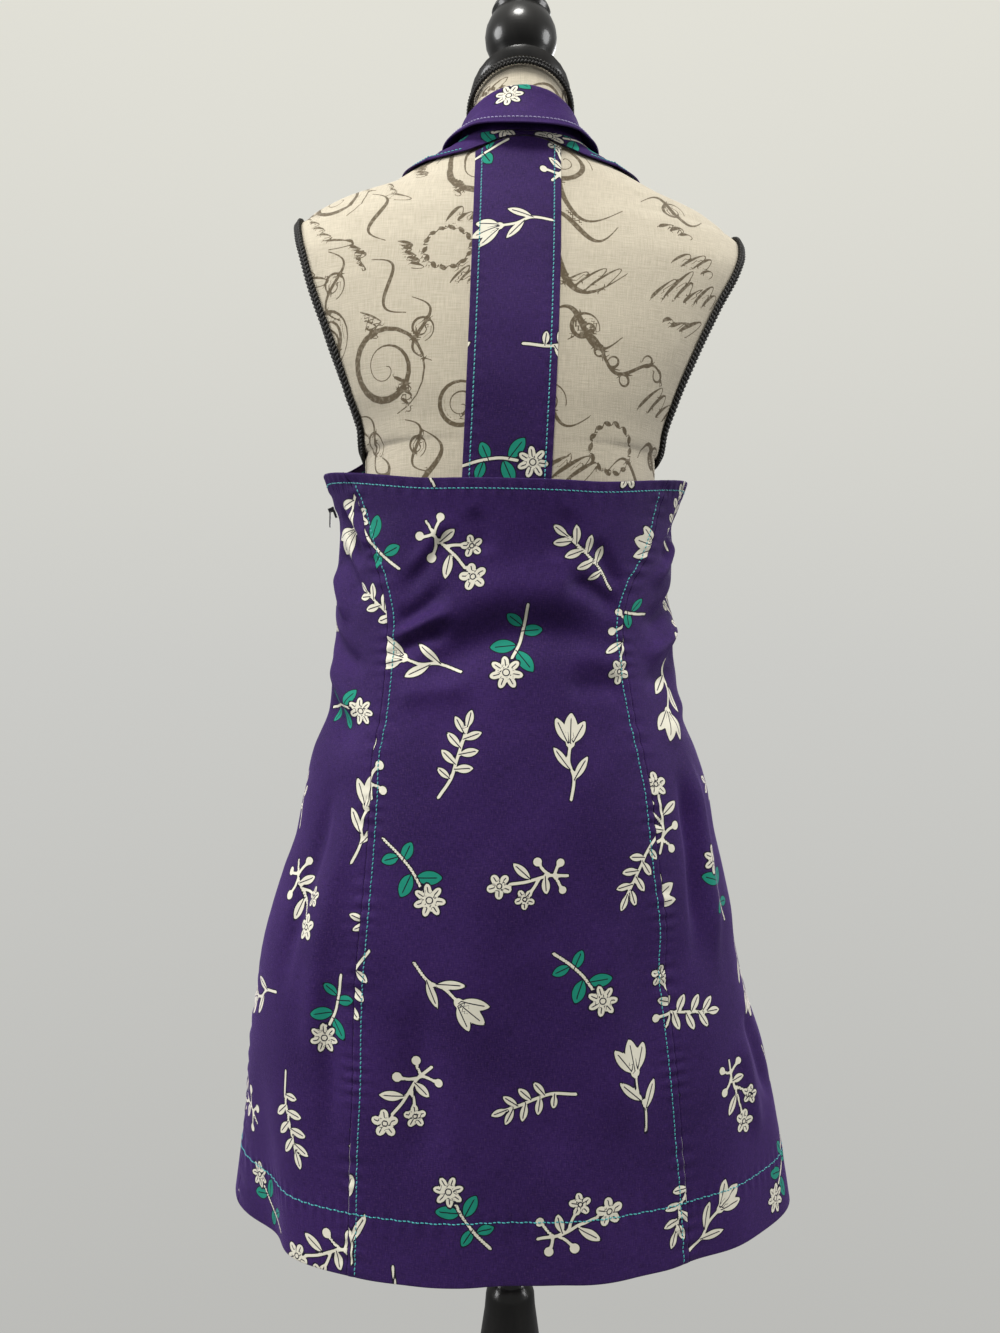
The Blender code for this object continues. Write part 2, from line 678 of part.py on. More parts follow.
def make_stand(collection, finish):
    turned(collection, "neck_cap", FINIAL, finish, 32, CAP_SLOPE)
    turned(collection, "stand_column", COLUMN, finish, 20)
    turned(collection, "stand_base", BASE, finish, 40)


def zip_frame():
    """Where the slider sits: its middle on the cloth, then the ways out, across and up."""
    angle = float(seam(3)(SLIDER_Z))
    place = lifted(dress_point, angle, SLIDER_Z, WALL / 2)
    out = lifted(dress_point, angle, SLIDER_Z, WALL / 2 + 1.0) - place
    up = lifted(dress_point, angle, SLIDER_Z + 0.004, WALL / 2) - place
    up -= out * np.dot(up, out)
    up /= np.linalg.norm(up)
    across = np.cross(up, out)
    return place, out, across, up


def box(collection, name, centre, axes, sizes, finish):
    """A box, given its centre, its three directions and its sizes along them."""
    form = bmesh.new()
    for corner in bmesh.ops.create_cube(form, size=1.0)["verts"]:
        corner.co = centre + sum(corner.co[i] * sizes[i] * axes[i] for i in range(3))
    return finish_mesh(collection, name, form, finish)


def rod(collection, name, centre, along, radius, length, finish):
    """A cylinder about a direction."""
    form = bmesh.new()
    bmesh.ops.create_cone(
        form, cap_ends=True, segments=ROD_STEPS, radius1=radius, radius2=radius, depth=length
    )
    turn = Vector((0.0, 0.0, 1.0)).rotation_difference(Vector(along)).to_matrix().to_4x4()
    bmesh.ops.transform(form, matrix=Matrix.Translation(centre) @ turn, verts=form.verts[:])
    return finish_mesh(collection, name, form, finish)


def cut(target, operation, other):
    """Joins a helper to the target, or takes it away."""
    other.hide_render = True
    other.display_type = "WIRE"
    change = target.modifiers.new(other.name, "BOOLEAN")
    change.operation = operation
    change.object = other


def pull_pivot():
    """The middle of the pull's pin, and the pin's level direction towards the back."""
    place, out, across, up = zip_frame()
    rise = (SLIDER_LENGTH - EAR_HEIGHT) / 2 - EAR_INSET
    pivot = place + up * rise + out * (SLIDER_SEAT + SLIDER_DEPTH + EAR_HEIGHT / 2 + GAP)
    level = np.array([across[0], across[1], 0.0])
    return pivot, level / np.linalg.norm(level)


def make_slider(collection, helpers, finish):
    """The zip's slider, with two ears and the pin that its pull turns on."""
    place, out, across, up = zip_frame()
    axes = (across, up, out)
    centre = place + out * (SLIDER_DEPTH / 2 + SLIDER_SEAT)
    size = (SLIDER_WIDTH, SLIDER_LENGTH, SLIDER_DEPTH)
    slider = box(collection, "zip_slider", centre, axes, size, finish)
    pivot, level = pull_pivot()
    ear_size = (EAR_WIDTH, EAR_HEIGHT, EAR_HEIGHT + EAR_SINK)
    reach = (SLIDER_WIDTH - EAR_WIDTH) / 2 - EAR_INSET
    for side, name in ((-1, "ear_front"), (1, "ear_back")):
        centre = pivot - out * EAR_SINK / 2 + across * side * reach
        cut(slider, "UNION", box(helpers, name, centre, axes, ear_size, finish))
    pin_length = SLIDER_WIDTH - EAR_WIDTH - 2 * EAR_INSET
    cut(slider, "UNION", rod(helpers, "pin", pivot, level, PIN_RADIUS, pin_length, finish))


def make_pull(collection, helpers, finish):
    """The pull tab, hanging plumb from the pin by a knuckle."""
    pivot, level = pull_pivot()
    down = np.array([0.0, 0.0, -1.0])
    face = np.cross(level, down)
    outline = [(below, -half) for below, half in PULL_OUTLINE]
    outline += [(below, half) for below, half in reversed(PULL_OUTLINE)]
    form = bmesh.new()
    near, far = (
        [
            form.verts.new(pivot + down * below + level * across + face * depth)
            for below, across in outline
        ]
        for depth in (-PULL_THICKNESS / 2, PULL_THICKNESS / 2)
    )
    form.faces.new(near)
    form.faces.new(far)
    for i in range(len(near)):
        form.faces.new((near[i - 1], near[i], far[i], far[i - 1]))
    pull = finish_mesh(collection, "zip_pull", form, finish)
    length = SLIDER_WIDTH - 2 * (EAR_WIDTH + EAR_INSET + GAP)
    cut(pull, "UNION", rod(helpers, "knuckle", pivot, level, KNUCKLE_RADIUS, length, finish))
    bore = rod(helpers, "knuckle_bore", pivot, level, PIN_RADIUS + GAP, 2 * SLIDER_WIDTH, finish)
    cut(pull, "DIFFERENCE", bore)


def build():
    clear_scene()
    parts = new_collection("halter_dress_on_form")
    helpers = new_collection("helpers", hidden=True)
    cloth = material("purple_cotton", (0.045, 0.025, 0.105), 0.85)
    linen = material("linen", (0.60, 0.54, 0.44), 0.9)
    cord = material("black_braid", (0.012, 0.011, 0.011), 0.7)
    wood = material("black_wood", (0.010, 0.009, 0.010), 0.25)
    metal = material("dark_metal", (0.03, 0.03, 0.035), 0.35, 1.0)
    make_back(parts, cloth)
    make_front(parts, cloth)
    make_strap(parts, cloth)
    make_collar(parts, cloth)
    make_form(parts, linen)
    make_braids(parts, cord)
    make_stand(parts, wood)
    make_slider(parts, helpers, metal)
    make_pull(parts, helpers, metal)


build()
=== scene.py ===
"""Looks of a halter dress on its dress form: cloth, print, stitching, braid, linen, light and camera.

Metres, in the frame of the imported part. The surfaces repeat those of the part's solids, with finer
meshes and creases. Angles round the body are in degrees from the centre back, positive towards the
wearer's left. The print is worked out in millimetres on the flat cloth.
"""

import math

import bpy
import numpy as np
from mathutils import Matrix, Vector


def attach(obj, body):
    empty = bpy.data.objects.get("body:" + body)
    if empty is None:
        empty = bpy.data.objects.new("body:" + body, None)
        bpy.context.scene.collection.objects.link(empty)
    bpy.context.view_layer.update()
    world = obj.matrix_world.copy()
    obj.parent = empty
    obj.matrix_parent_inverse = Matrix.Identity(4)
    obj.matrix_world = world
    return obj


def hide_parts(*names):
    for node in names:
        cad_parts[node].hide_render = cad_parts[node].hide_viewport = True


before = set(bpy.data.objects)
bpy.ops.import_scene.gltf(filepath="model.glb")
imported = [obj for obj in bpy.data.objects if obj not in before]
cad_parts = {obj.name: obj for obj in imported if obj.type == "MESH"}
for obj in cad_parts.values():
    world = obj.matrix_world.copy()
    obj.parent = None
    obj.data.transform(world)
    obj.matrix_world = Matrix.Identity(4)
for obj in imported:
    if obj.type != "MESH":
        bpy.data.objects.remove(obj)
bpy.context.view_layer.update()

COARSE = 1.0  # mesh spacing in trials, against the final one
BODY_OF_ALL = "dress_and_form"
SIDES = (("left", 1), ("right", -1))  # the wearer's, with the sign of x
WELD_REACH = 2e-5
FAR = 9.0  # millimetres, past the reach of any printed shape

WALL = 0.0014  # as in the part's solids
GAP = 0.0003
SEAM_SPREAD = 1.4
HEM = 0.572
BACK_EDGE = 1.1715
SIDE_RISE = 0.015
CLOTH_LIFT = 0.0014
BIB_LIFT = 0.0024
STRAP_WIDTH = 0.068
STRAP_TOP = 1.4498
STRAP_TOP_CURVE = 7.8
STRAP_TUCK = 0.022
STRAP_LINE = (
    # z, middle of the strap's width
    (1.149, 0.0160),
    (1.450, 0.0055),
)
FORM_LOW = 0.800
FORM_SHOWN_FROM = 1.150
FORM_NECK_FROM = 1.460
NECK_TOP = 1.5028
NECK_RISE = 0.0223
NECK_FOOT = 1.4605
NECK_RADIUS = 0.0410
BRAID_RADIUS = 0.0036
NECK_BRAID_RADIUS = 0.0030
NECK_BRAID_DROP = 0.0040
# A braid's plait, its strands' radius and how far they swing aside and up, in the braid's own radii
PLAIT, STRAND, STRAND_SWING, STRAND_RISE = 2.9, 0.38, 0.66, 0.30
PLATE_LOW = 1.203
PLATE_HIGH = 1.394
PLATE_MIDDLE = (PLATE_LOW + PLATE_HIGH) / 2
PLATE_REACH = (PLATE_HIGH - PLATE_LOW) / 2
PLATE_BULGE = 0.12
PLATE_SLOPE = 0.33
BRAID_PRESSED = 0.45  # how far the braid's middle stands off the plate's rim, in its own radii
BRAID_TURN_HIGH = 0.8
BRAID_TURN_LOW = 0.1

SWAY = 5  # the column of BODY and DRESS that holds it
# Sections of the form: half width, depth to back and front, squareness, sideways sway
BODY = (
    # z, half_width, back, front, square, sway
    (0.800, 0.140, 0.092, 0.092, 2.2, 0.004),
    (0.860, 0.152, 0.098, 0.102, 2.2, 0.004),
    (0.920, 0.148, 0.096, 0.102, 2.2, 0.005),
    (0.980, 0.132, 0.088, 0.098, 2.2, 0.006),
    (1.060, 0.120, 0.079, 0.091, 2.1, 0.006),
    (1.120, 0.121, 0.087, 0.100, 2.2, 0.006),
    (1.170, 0.122, 0.096, 0.112, 2.3, 0.006),
    (1.215, 0.1215, 0.100, 0.126, 2.4, 0.0065),
    (1.245, 0.1300, 0.102, 0.126, 2.5, 0.0075),
    (1.280, 0.1430, 0.101, 0.119, 2.6, 0.0065),
    (1.320, 0.1600, 0.096, 0.104, 2.6, 0.0045),
    (1.355, 0.1745, 0.089, 0.088, 2.6, 0.0002),
    (1.372, 0.1797, 0.084, 0.080, 2.4, -0.0007),
    (1.386, 0.1815, 0.080, 0.074, 2.2, -0.0005),
    (1.396, 0.1800, 0.0765, 0.069, 2.0, -0.0002),
    (1.411, 0.1640, 0.071, 0.062, 1.8, -0.0020),
    (1.4265, 0.1240, 0.067, 0.056, 1.75, -0.0045),
    (1.4405, 0.0960, 0.063, 0.052, 1.8, -0.0015),
    (1.4515, 0.0700, 0.0600, 0.050, 1.9, 0.0),
    (1.4605, 0.0560, 0.0570, 0.0455, 2.0, 0.0),
    (1.470, 0.0470, 0.0530, 0.0420, 2.0, 0.0),
    (1.485, 0.0411, 0.0485, 0.0405, 2.0, 0.0),
    (1.500, 0.0403, 0.0440, 0.0405, 2.0, 0.0),
    (1.510, 0.0403, 0.0413, 0.0405, 2.0, 0.0),
    (1.526, 0.0403, 0.0405, 0.0405, 2.0, 0.0),
)

# Sections of the dress from the hem to the underarm, in the same terms
DRESS = (
    # z, half_width, back, front, square, sway
    (0.572, 0.2330, 0.1160, 0.152, 2.0, -0.0025),
    (0.620, 0.2280, 0.1155, 0.149, 2.0, -0.0010),
    (0.664, 0.2230, 0.1150, 0.146, 2.0, 0.0017),
    (0.712, 0.2170, 0.1150, 0.142, 2.0, 0.0047),
    (0.760, 0.2060, 0.1148, 0.138, 2.05, 0.0085),
    (0.796, 0.1995, 0.1145, 0.135, 2.05, 0.0105),
    (0.830, 0.1930, 0.1145, 0.132, 2.1, 0.0085),
    (0.860, 0.1850, 0.1140, 0.129, 2.1, 0.0070),
    (0.892, 0.1755, 0.1125, 0.126, 2.15, 0.0055),
    (0.928, 0.1690, 0.1095, 0.122, 2.15, 0.0055),
    (0.960, 0.1610, 0.1050, 0.119, 2.2, 0.0076),
    (0.995, 0.1475, 0.0995, 0.117, 2.2, 0.0082),
    (1.030, 0.1440, 0.0950, 0.116, 2.2, 0.0090),
    (1.060, 0.1420, 0.0930, 0.117, 2.2, 0.0096),
    (1.108, 0.1400, 0.0950, 0.121, 2.2, 0.0093),
    (1.145, 0.1400, 0.1000, 0.126, 2.2, 0.0080),
    (1.166, 0.1455, 0.1030, 0.129, 2.2, 0.0085),
    (1.190, 0.1545, 0.1055, 0.1315, 2.3, 0.0095),
)
DRESS_MEETS_FORM = (1.188, 1.240)

# Folds of the skirt: ridges (+) and troughs (-) that fade out upwards
FOLDS = (
    # angle, half_width, depth_at_hem, top
    (110.0, 13.0, 0.030, 0.90),
    (81.0, 10.0, -0.026, 0.84),
    (62.0, 9.0, -0.004, 0.80),
    (30.0, 12.0, 0.003, 0.76),
    (8.0, 10.0, -0.002, 0.72),
    (-26.0, 12.0, 0.004, 0.76),
    (-58.0, 7.0, -0.006, 0.74),
    (-74.0, 8.0, -0.005, 0.90),
    (-92.0, 9.0, 0.007, 0.88),
    (-116.0, 11.0, 0.014, 0.92),
    (-136.0, 10.0, -0.011, 0.88),
    (-157.0, 11.0, 0.010, 0.86),
    (137.0, 10.0, -0.012, 0.88),
    (158.0, 11.0, 0.011, 0.90),
    (180.0, 9.0, -0.007, 0.84),
)

# Seam lines, as angles
LEFT_PRINCESS, RIGHT_PRINCESS, LEFT_SIDE, RIGHT_SIDE = 1, 2, 3, 4  # columns
SEAMS = (
    # z, left_princess, right_princess, left_side, right_side
    (0.572, 54.5, -54.0, 94.0, -97.0),
    (0.640, 54.0, -53.5, 94.0, -97.0),
    (0.740, 51.5, -53.0, 93.5, -97.0),
    (0.820, 50.5, -52.5, 93.5, -97.0),
    (0.900, 51.5, -50.0, 93.0, -97.0),
    (0.960, 52.5, -50.0, 94.0, -98.0),
    (1.010, 52.7, -49.5, 96.0, -98.0),
    (1.060, 52.7, -48.8, 97.0, -98.0),
    (1.095, 55.5, -52.5, 97.0, -97.0),
    (1.118, 59.0, -58.5, 95.0, -96.0),
    (1.145, 62.5, -61.0, 92.0, -93.0),
    (1.190, 66.5, -62.0, 91.0, -91.0),
)

# The front above the underarm: its neck edge and its armhole edge, on the wearer's left
BIB = (
    # neck_angle, neck_z, arm_angle, arm_z
    (180.0, 1.1865, 91.2, 1.1865),
    (180.0, 1.214, 113.0, 1.204),
    (180.0, 1.246, 127.0, 1.236),
    (180.0, 1.278, 134.0, 1.276),
    (180.0, 1.306, 138.0, 1.316),
    (170.0, 1.345, 138.0, 1.350),
    (161.0, 1.382, 134.0, 1.382),
    (148.0, 1.420, 122.0, 1.412),
    (131.0, 1.446, 107.0, 1.428),
    (110.0, 1.459, 92.0, 1.4385),
    (90.0, 1.4625, 75.0, 1.4375),
    (66.0, 1.4600, 60.0, 1.4375),
    (46.0, 1.4570, 44.0, 1.4385),
    (32.5, 1.4550, 31.0, 1.4428),
    (16.0, 1.4540, 15.5, 1.4488),
    (0.0, 1.4535, 0.0, 1.4505),
)

# The collar on the wearer's left, from the centre back to its point
COLLAR = (
    # neck_angle, neck_z, fold_angle, fold_z, fold_lift, edge_angle, edge_z, edge_lift
    (0.0, 1.4535, 0.0, 1.4885, 0.0105, 0.0, 1.4480, 0.0171),
    (16.0, 1.4540, 16.0, 1.4880, 0.0098, 17.0, 1.4490, 0.0162),
    (32.5, 1.4550, 32.0, 1.4868, 0.0080, 34.0, 1.4510, 0.0138),
    (46.0, 1.4570, 48.0, 1.4857, 0.0062, 51.0, 1.4530, 0.0098),
    (66.0, 1.4600, 67.0, 1.4850, 0.0054, 70.0, 1.4550, 0.0082),
    (90.0, 1.4625, 90.0, 1.4835, 0.0054, 90.0, 1.4560, 0.0076),
    (110.0, 1.4590, 111.0, 1.4765, 0.0046, 101.0, 1.4430, 0.0072),
    (131.0, 1.4460, 133.5, 1.4590, 0.0034, 110.0, 1.4230, 0.0070),
    (148.0, 1.4200, 151.5, 1.4290, 0.0028, 120.0, 1.4000, 0.0068),
    (161.0, 1.3820, 164.5, 1.3870, 0.0026, 131.0, 1.3720, 0.0068),
    (170.0, 1.3450, 173.5, 1.3485, 0.0026, 141.0, 1.3420, 0.0068),
    (176.2, 1.3255, 178.4, 1.3270, 0.0026, 149.0, 1.3180, 0.0068),
)
COLLAR_STEP = 0.0012
FOLD_ROOM = 0.0021
FOLD_REACH = 0.0012

# Creases, which only the looks have: troughs (-) and ridges (+) along short curves through three points
CREASES = (
    # angle, z, mid_angle, mid_z, to_angle, to_z, depth, half_width
    (47.0, 1.014, 2.0, 1.054, -48.0, 1.044, -0.0080, 0.017),
    (49.0, 1.040, 6.0, 1.086, -46.0, 1.074, 0.0038, 0.017),
    (51.0, 1.036, 40.0, 1.050, 25.0, 1.058, -0.0057, 0.007),
    (51.0, 1.062, 40.0, 1.072, 28.0, 1.094, -0.0049, 0.007),
    (52.0, 1.048, 39.0, 1.062, 24.0, 1.074, 0.0034, 0.006),
    (49.0, 1.082, 38.0, 1.108, 28.0, 1.138, -0.0030, 0.008),
    (47.0, 1.096, 36.0, 1.122, 28.0, 1.146, 0.0030, 0.006),
    (50.0, 1.004, 34.0, 1.012, 16.0, 1.014, 0.0034, 0.010),
    (-48.0, 1.070, -36.0, 1.088, -22.0, 1.096, -0.0049, 0.008),
    (-49.0, 1.088, -40.0, 1.110, -33.0, 1.130, -0.0038, 0.007),
    (-49.0, 1.028, -38.0, 1.036, -22.0, 1.040, 0.0034, 0.010),
    (-49.0, 1.012, -36.0, 1.014, -20.0, 1.012, -0.0030, 0.009),
    (20.0, 1.150, 15.0, 1.132, 13.0, 1.112, -0.0023, 0.008),
    (-24.0, 1.152, -20.0, 1.130, -18.0, 1.108, -0.0023, 0.009),
    (78.0, 1.154, 70.0, 1.136, 64.0, 1.104, -0.0065, 0.007),
    (75.0, 1.158, 66.0, 1.140, 59.0, 1.116, 0.0046, 0.006),
    (82.0, 1.122, 73.0, 1.108, 62.0, 1.070, -0.0065, 0.008),
    (88.0, 1.112, 77.0, 1.088, 70.0, 1.062, 0.0049, 0.006),
    (92.0, 1.066, 74.0, 1.042, 60.0, 1.022, -0.0057, 0.008),
    (86.0, 1.034, 72.0, 1.012, 60.0, 0.984, 0.0046, 0.009),
    (84.0, 1.000, 72.0, 0.990, 58.0, 0.964, -0.0049, 0.009),
    (-88.0, 1.160, -76.0, 1.138, -66.0, 1.112, -0.0065, 0.007),
    (-82.0, 1.142, -72.0, 1.118, -61.0, 1.092, 0.0046, 0.007),
    (-92.0, 1.098, -74.0, 1.080, -56.0, 1.058, -0.0065, 0.008),
    (-90.0, 1.070, -72.0, 1.052, -56.0, 1.034, 0.0046, 0.007),
    (-88.0, 1.046, -70.0, 1.030, -55.0, 1.010, -0.0053, 0.008),
    (-84.0, 1.006, -72.0, 0.990, -58.0, 0.966, 0.0038, 0.010),
    (-62.0, 0.956, -63.0, 0.880, -62.0, 0.790, -0.0070, 0.007),
    (-68.0, 0.970, -69.0, 0.880, -70.0, 0.770, 0.0054, 0.009),
    (-80.0, 0.750, -81.0, 0.710, -84.0, 0.660, -0.0058, 0.009),
    (-74.0, 0.740, -75.0, 0.690, -76.0, 0.640, 0.0045, 0.009),
    (66.0, 0.950, 69.0, 0.860, 72.0, 0.760, -0.0058, 0.009),
    (59.0, 0.930, 61.0, 0.820, 62.0, 0.700, 0.0045, 0.011),
    (57.0, 0.800, 58.0, 0.740, 58.0, 0.660, -0.0038, 0.008),
    (31.0, 0.800, 33.0, 0.720, 34.0, 0.640, -0.0042, 0.014),
    (-12.0, 0.820, -10.0, 0.730, -10.0, 0.640, -0.0035, 0.018),
    (14.0, 0.900, 12.0, 0.820, 12.0, 0.720, 0.0029, 0.020),
    (-34.0, 0.860, -36.0, 0.760, -38.0, 0.650, 0.0038, 0.016),
    (104.0, 1.150, 112.0, 1.128, 124.0, 1.096, -0.0048, 0.008),
    (108.0, 1.120, 118.0, 1.096, 132.0, 1.060, 0.0038, 0.009),
    (-104.0, 1.150, -112.0, 1.130, -122.0, 1.098, -0.0048, 0.008),
    (-110.0, 1.116, -120.0, 1.094, -134.0, 1.062, 0.0038, 0.009),
    (112.0, 1.050, 126.0, 1.040, 140.0, 1.020, -0.0051, 0.012),
    (-112.0, 1.046, -126.0, 1.036, -142.0, 1.018, -0.0051, 0.012),
    (150.0, 1.046, 178.0, 1.058, 206.0, 1.042, -0.0042, 0.018),
    (128.0, 0.940, 131.0, 0.870, 134.0, 0.780, -0.0054, 0.011),
    (-126.0, 0.930, -129.0, 0.860, -131.0, 0.760, 0.0048, 0.012),
    (150.0, 0.880, 152.0, 0.800, 154.0, 0.700, 0.0045, 0.014),
    (-150.0, 0.860, -149.0, 0.780, -148.0, 0.690, -0.0045, 0.014),
    (150.0, 1.212, 157.0, 1.192, 164.0, 1.168, -0.0035, 0.009),
    (-150.0, 1.212, -157.0, 1.192, -164.0, 1.168, -0.0035, 0.009),
    (126.0, 1.230, 132.0, 1.210, 140.0, 1.186, -0.0032, 0.007),
    (-126.0, 1.230, -132.0, 1.210, -140.0, 1.186, -0.0032, 0.007),
)

# Relief beside the seams and rows of stitches
TURNING_LIFT = 0.00035
GROOVE_DEPTH = 0.00030
GROOVE_HALF = 0.0011
PUCKER_PRINCESS = 0.00075
PUCKER_SIDE = 0.00060
PUCKER_HEM = 0.00055
PUCKER_TOP = 0.00045
RIBS_TOP = 0.00022

FRONT_HALF = 0.27  # width that the columns of each half of the front are spaced for
BIB_STEP = 0.026  # distance that one row of BIB stands for
COLLAR_LENGTH = 0.62  # this one and the next are what the collar's mesh is spaced for
COLLAR_WIDTH = 0.085

STITCH_IN = 0.0055  # from a princess seam to its topstitching, on the centre side
HEM_STITCH = 0.047  # from the hem up to its stitching
TOP_STITCH = 0.0080  # from the back's top edge down to its stitching
STRAP_STITCH = 0.0055
ARM_STITCH = 0.1  # from the armhole's edge to its stitching, as a share of the way to the neck's edge
COLLAR_STITCH = 0.0045
STITCH_LENGTH = 0.0029
STITCH_PITCH = 0.0034
STITCH_SLANT = 0.00018  # how far a stitch's ends lie to either side of its row
THREAD_RADIUS = 0.00052
SEAM_LINE = 0.15  # half the line that shows at a seam, in gaps
SHELL = 0.0011  # from a panel's outer face to its turned-in edges
TURNED_IN = 0.3  # deeper than this share of SHELL, cloth carries no print
EDGE_ROOM = 0.0018  # from a turned edge to the face's first column
HEM_TURN = 0.045
EDGE_TURN = 0.005

# Mesh spacing, and the seed of the print
FORM_MESH = (0.0016, 11)
FRONT_MESH = (0.0027, 13)
STRAP_MESH = (0.0013, 21)
COLLAR_MESH = (0.0016, 39)
BACK_PANELS = (
    # piece, columns of its two seams, mesh spacing, seed of the print
    ("cloth_back_centre", RIGHT_PRINCESS, LEFT_PRINCESS, 0.00145, 3),
    ("cloth_side_back_left", LEFT_PRINCESS, LEFT_SIDE, 0.0016, 5),
    ("cloth_side_back_right", RIGHT_SIDE, RIGHT_PRINCESS, 0.0016, 8),
)

PURPLE = (0.0320, 0.0130, 0.083)
PURPLE_DEEP = (0.0230, 0.0092, 0.062)
HEATHER = (0.082, 0.036, 0.120)
PURPLE_WRONG_SIDE = (0.085, 0.060, 0.150)
CREAM = (0.66, 0.635, 0.53)
TEAL = (0.012, 0.225, 0.155)
PRINT_BLACK = (0.010, 0.008, 0.020)
TURQUOISE = (0.035, 0.370, 0.400)
LILAC = (0.300, 0.260, 0.480)
LINEN = (0.545, 0.492, 0.388)
LINEN_DARK = (0.430, 0.384, 0.296)
TAUPE = (0.108, 0.082, 0.048)
WOOD_COLOURS = ((0.009, 0.009, 0.009), (0.016, 0.015, 0.014))
BRAID_COLOURS = ((0.004, 0.004, 0.004), (0.020, 0.018, 0.016))
ENAMEL_COLOURS = ((0.022, 0.020, 0.028), (0.09, 0.085, 0.10))
FLOOR_COLOURS = ((0.46, 0.46, 0.445), (0.50, 0.50, 0.485))

FLOOR = (
    # radius, z
    (0.640, 0.0),
    (0.652, -0.002),
    (0.655, -0.006),
    (0.655, -0.030),
)

# Colours of the surroundings: below, level and above. Going from darker below to lighter above, they are
# painted shading of a backdrop lit from above.
BACKDROP = ((0.50, 0.50, 0.48), (0.60, 0.60, 0.575), (0.76, 0.75, 0.68))
LIGHT_FROM_ABOVE = ((0.12, 0.12, 0.12), (0.24, 0.24, 0.235), (0.46, 0.46, 0.445))
SKY_BLEND = 0.6  # how far up and down a direction points where the last of the colours is reached

LIGHTS = (
    # name, place, size, power, colour
    ("key", (0.4, 1.5, 3.6), 1.0, 92.0, (1.0, 0.985, 0.95)),
    ("fill_right", (-2.3, 0.3, 1.6), 1.2, 34.0, (1.0, 1.0, 1.0)),
    ("fill_left", (2.3, 0.4, 1.7), 1.2, 46.0, (1.0, 1.0, 1.0)),
    ("front", (-0.8, -2.6, 2.0), 2.0, 34.0, (1.0, 1.0, 1.0)),
)
LIT_POINT = (0, 0, 1.0)

CAMERA_PLACE = (0.0657, 0.8535, 1.030)
SENSOR = 36.0
IMAGE_HEIGHT = 1333.0
FOCAL = 1003.0  # pixels, in an image of that height
CENTRE_RIGHT = 15.5  # the picture's centre line lies this many pixels right of its middle
ROLL = 0.5  # degrees that the picture leans to the right

# Sprigs of the print, in millimetres. One kind in four has teal leaves.
SPRIGS = (
    {
        "petals": ((0.0, 20.0, 13.0, 7),),  # x, y, radius, count
        "leaves": (  # x, y, to_x, to_y, half_width, teal
            (0.5, 1.0, 18.0, 12.0, 5.4, True),
            (-0.5, -3.0, -18.0, 7.0, 5.4, True),
            (-1.5, -14.0, 13.0, -22.0, 4.6, True),
            (-2.0, -18.0, -17.0, -22.0, 4.4, True),
        ),
        "discs": (),
        "stems": (((0.0, 8.0), (1.0, -4.0), (-1.0, -18.0), (-6.0, -35.0)),),
    },
    {
        "petals": (),
        "leaves": (
            (0.0, 10.0, -2.0, 36.0, 6.0, False),
            (2.0, 10.0, 12.0, 32.0, 4.8, False),
            (-2.0, 10.0, -14.0, 29.0, 4.8, False),
            (1.0, -12.0, 15.0, 8.0, 3.8, False),
            (-1.0, -20.0, -15.0, 0.0, 3.8, False),
        ),
        "discs": ((0.0, 10.0, 4.2),),  # x, y, radius
        "stems": (((0.0, 10.0), (2.0, -4.0), (-1.0, -18.0), (3.0, -36.0)),),
    },
    {
        "petals": (),
        "leaves": (
            (0.0, 22.0, 1.0, 37.0, 3.4, False),
            (0.5, 17.0, 12.0, 28.0, 3.4, False),
            (0.0, 13.0, -12.0, 23.0, 3.4, False),
            (0.0, 6.0, 14.0, 14.0, 3.6, False),
            (-0.5, 1.0, -14.0, 9.0, 3.6, False),
            (0.0, -7.0, 14.0, 0.0, 3.6, False),
            (0.0, -11.0, -14.0, -5.0, 3.6, False),
            (1.0, -19.0, 13.0, -14.0, 3.2, False),
        ),
        "discs": (),
        "stems": (((0.0, 24.0), (0.0, 6.0), (0.0, -14.0), (6.0, -36.0)),),
    },
    {
        "petals": ((-3.0, 20.0, 11.0, 5), (13.0, 3.0, 9.0, 5)),
        "leaves": (
            (-1.0, -6.0, -18.0, 5.0, 4.0, False),
            (0.0, -18.0, 15.0, -15.0, 3.8, False),
        ),
        "discs": ((-13.0, -15.0, 4.0), (-7.0, -33.0, 3.8), (15.0, -29.0, 3.6)),
        "stems": (
            ((-2.0, 11.0), (0.0, -4.0), (0.0, -18.0), (5.0, -36.0)),
            ((9.0, -3.0), (5.0, -8.0), (0.0, -13.0)),
            ((-10.0, -16.0), (-5.0, -18.0), (0.0, -22.0)),
            ((-5.0, -30.0), (-1.0, -27.0), (2.0, -25.0)),
            ((12.0, -28.0), (7.0, -27.0), (2.0, -25.0)),
        ),
    },
)
SPRIG_CELL = 88.0  # one sprig to a square of this side
SPRIG_ROW = 0.94 * SPRIG_CELL
SPRIG_STRAY = 11.0
SPRIG_SCALE = (0.90, 1.06)
SPRIG_REACH = 44.0
STEM_HALF = 1.5
LINE_HALF = 0.42  # half width of the print's black lines
LINE_ROOM = 1.8  # how far from a line its own signed distance is kept
OUTLINE = 0.42

SCROLLS_STEEP_FROM = 15.0  # millimetres to the wearer's left, where the flourishes run steeply
STEEPER_BY = 1.0  # radians
STEEP_ROOM = 0.62  # room that a steep flourish takes along its row, in its own widths
SCROLL_ROW = 29.0  # millimetres from one row of flourishes to the next
SCROLL_SIZE = (24, 46)
SCROLL_SWELL = (1.1, 2.6)  # what a stroke gains in half width where it is thickest
SCROLL_TURN = (-0.10, 0.42)  # radians


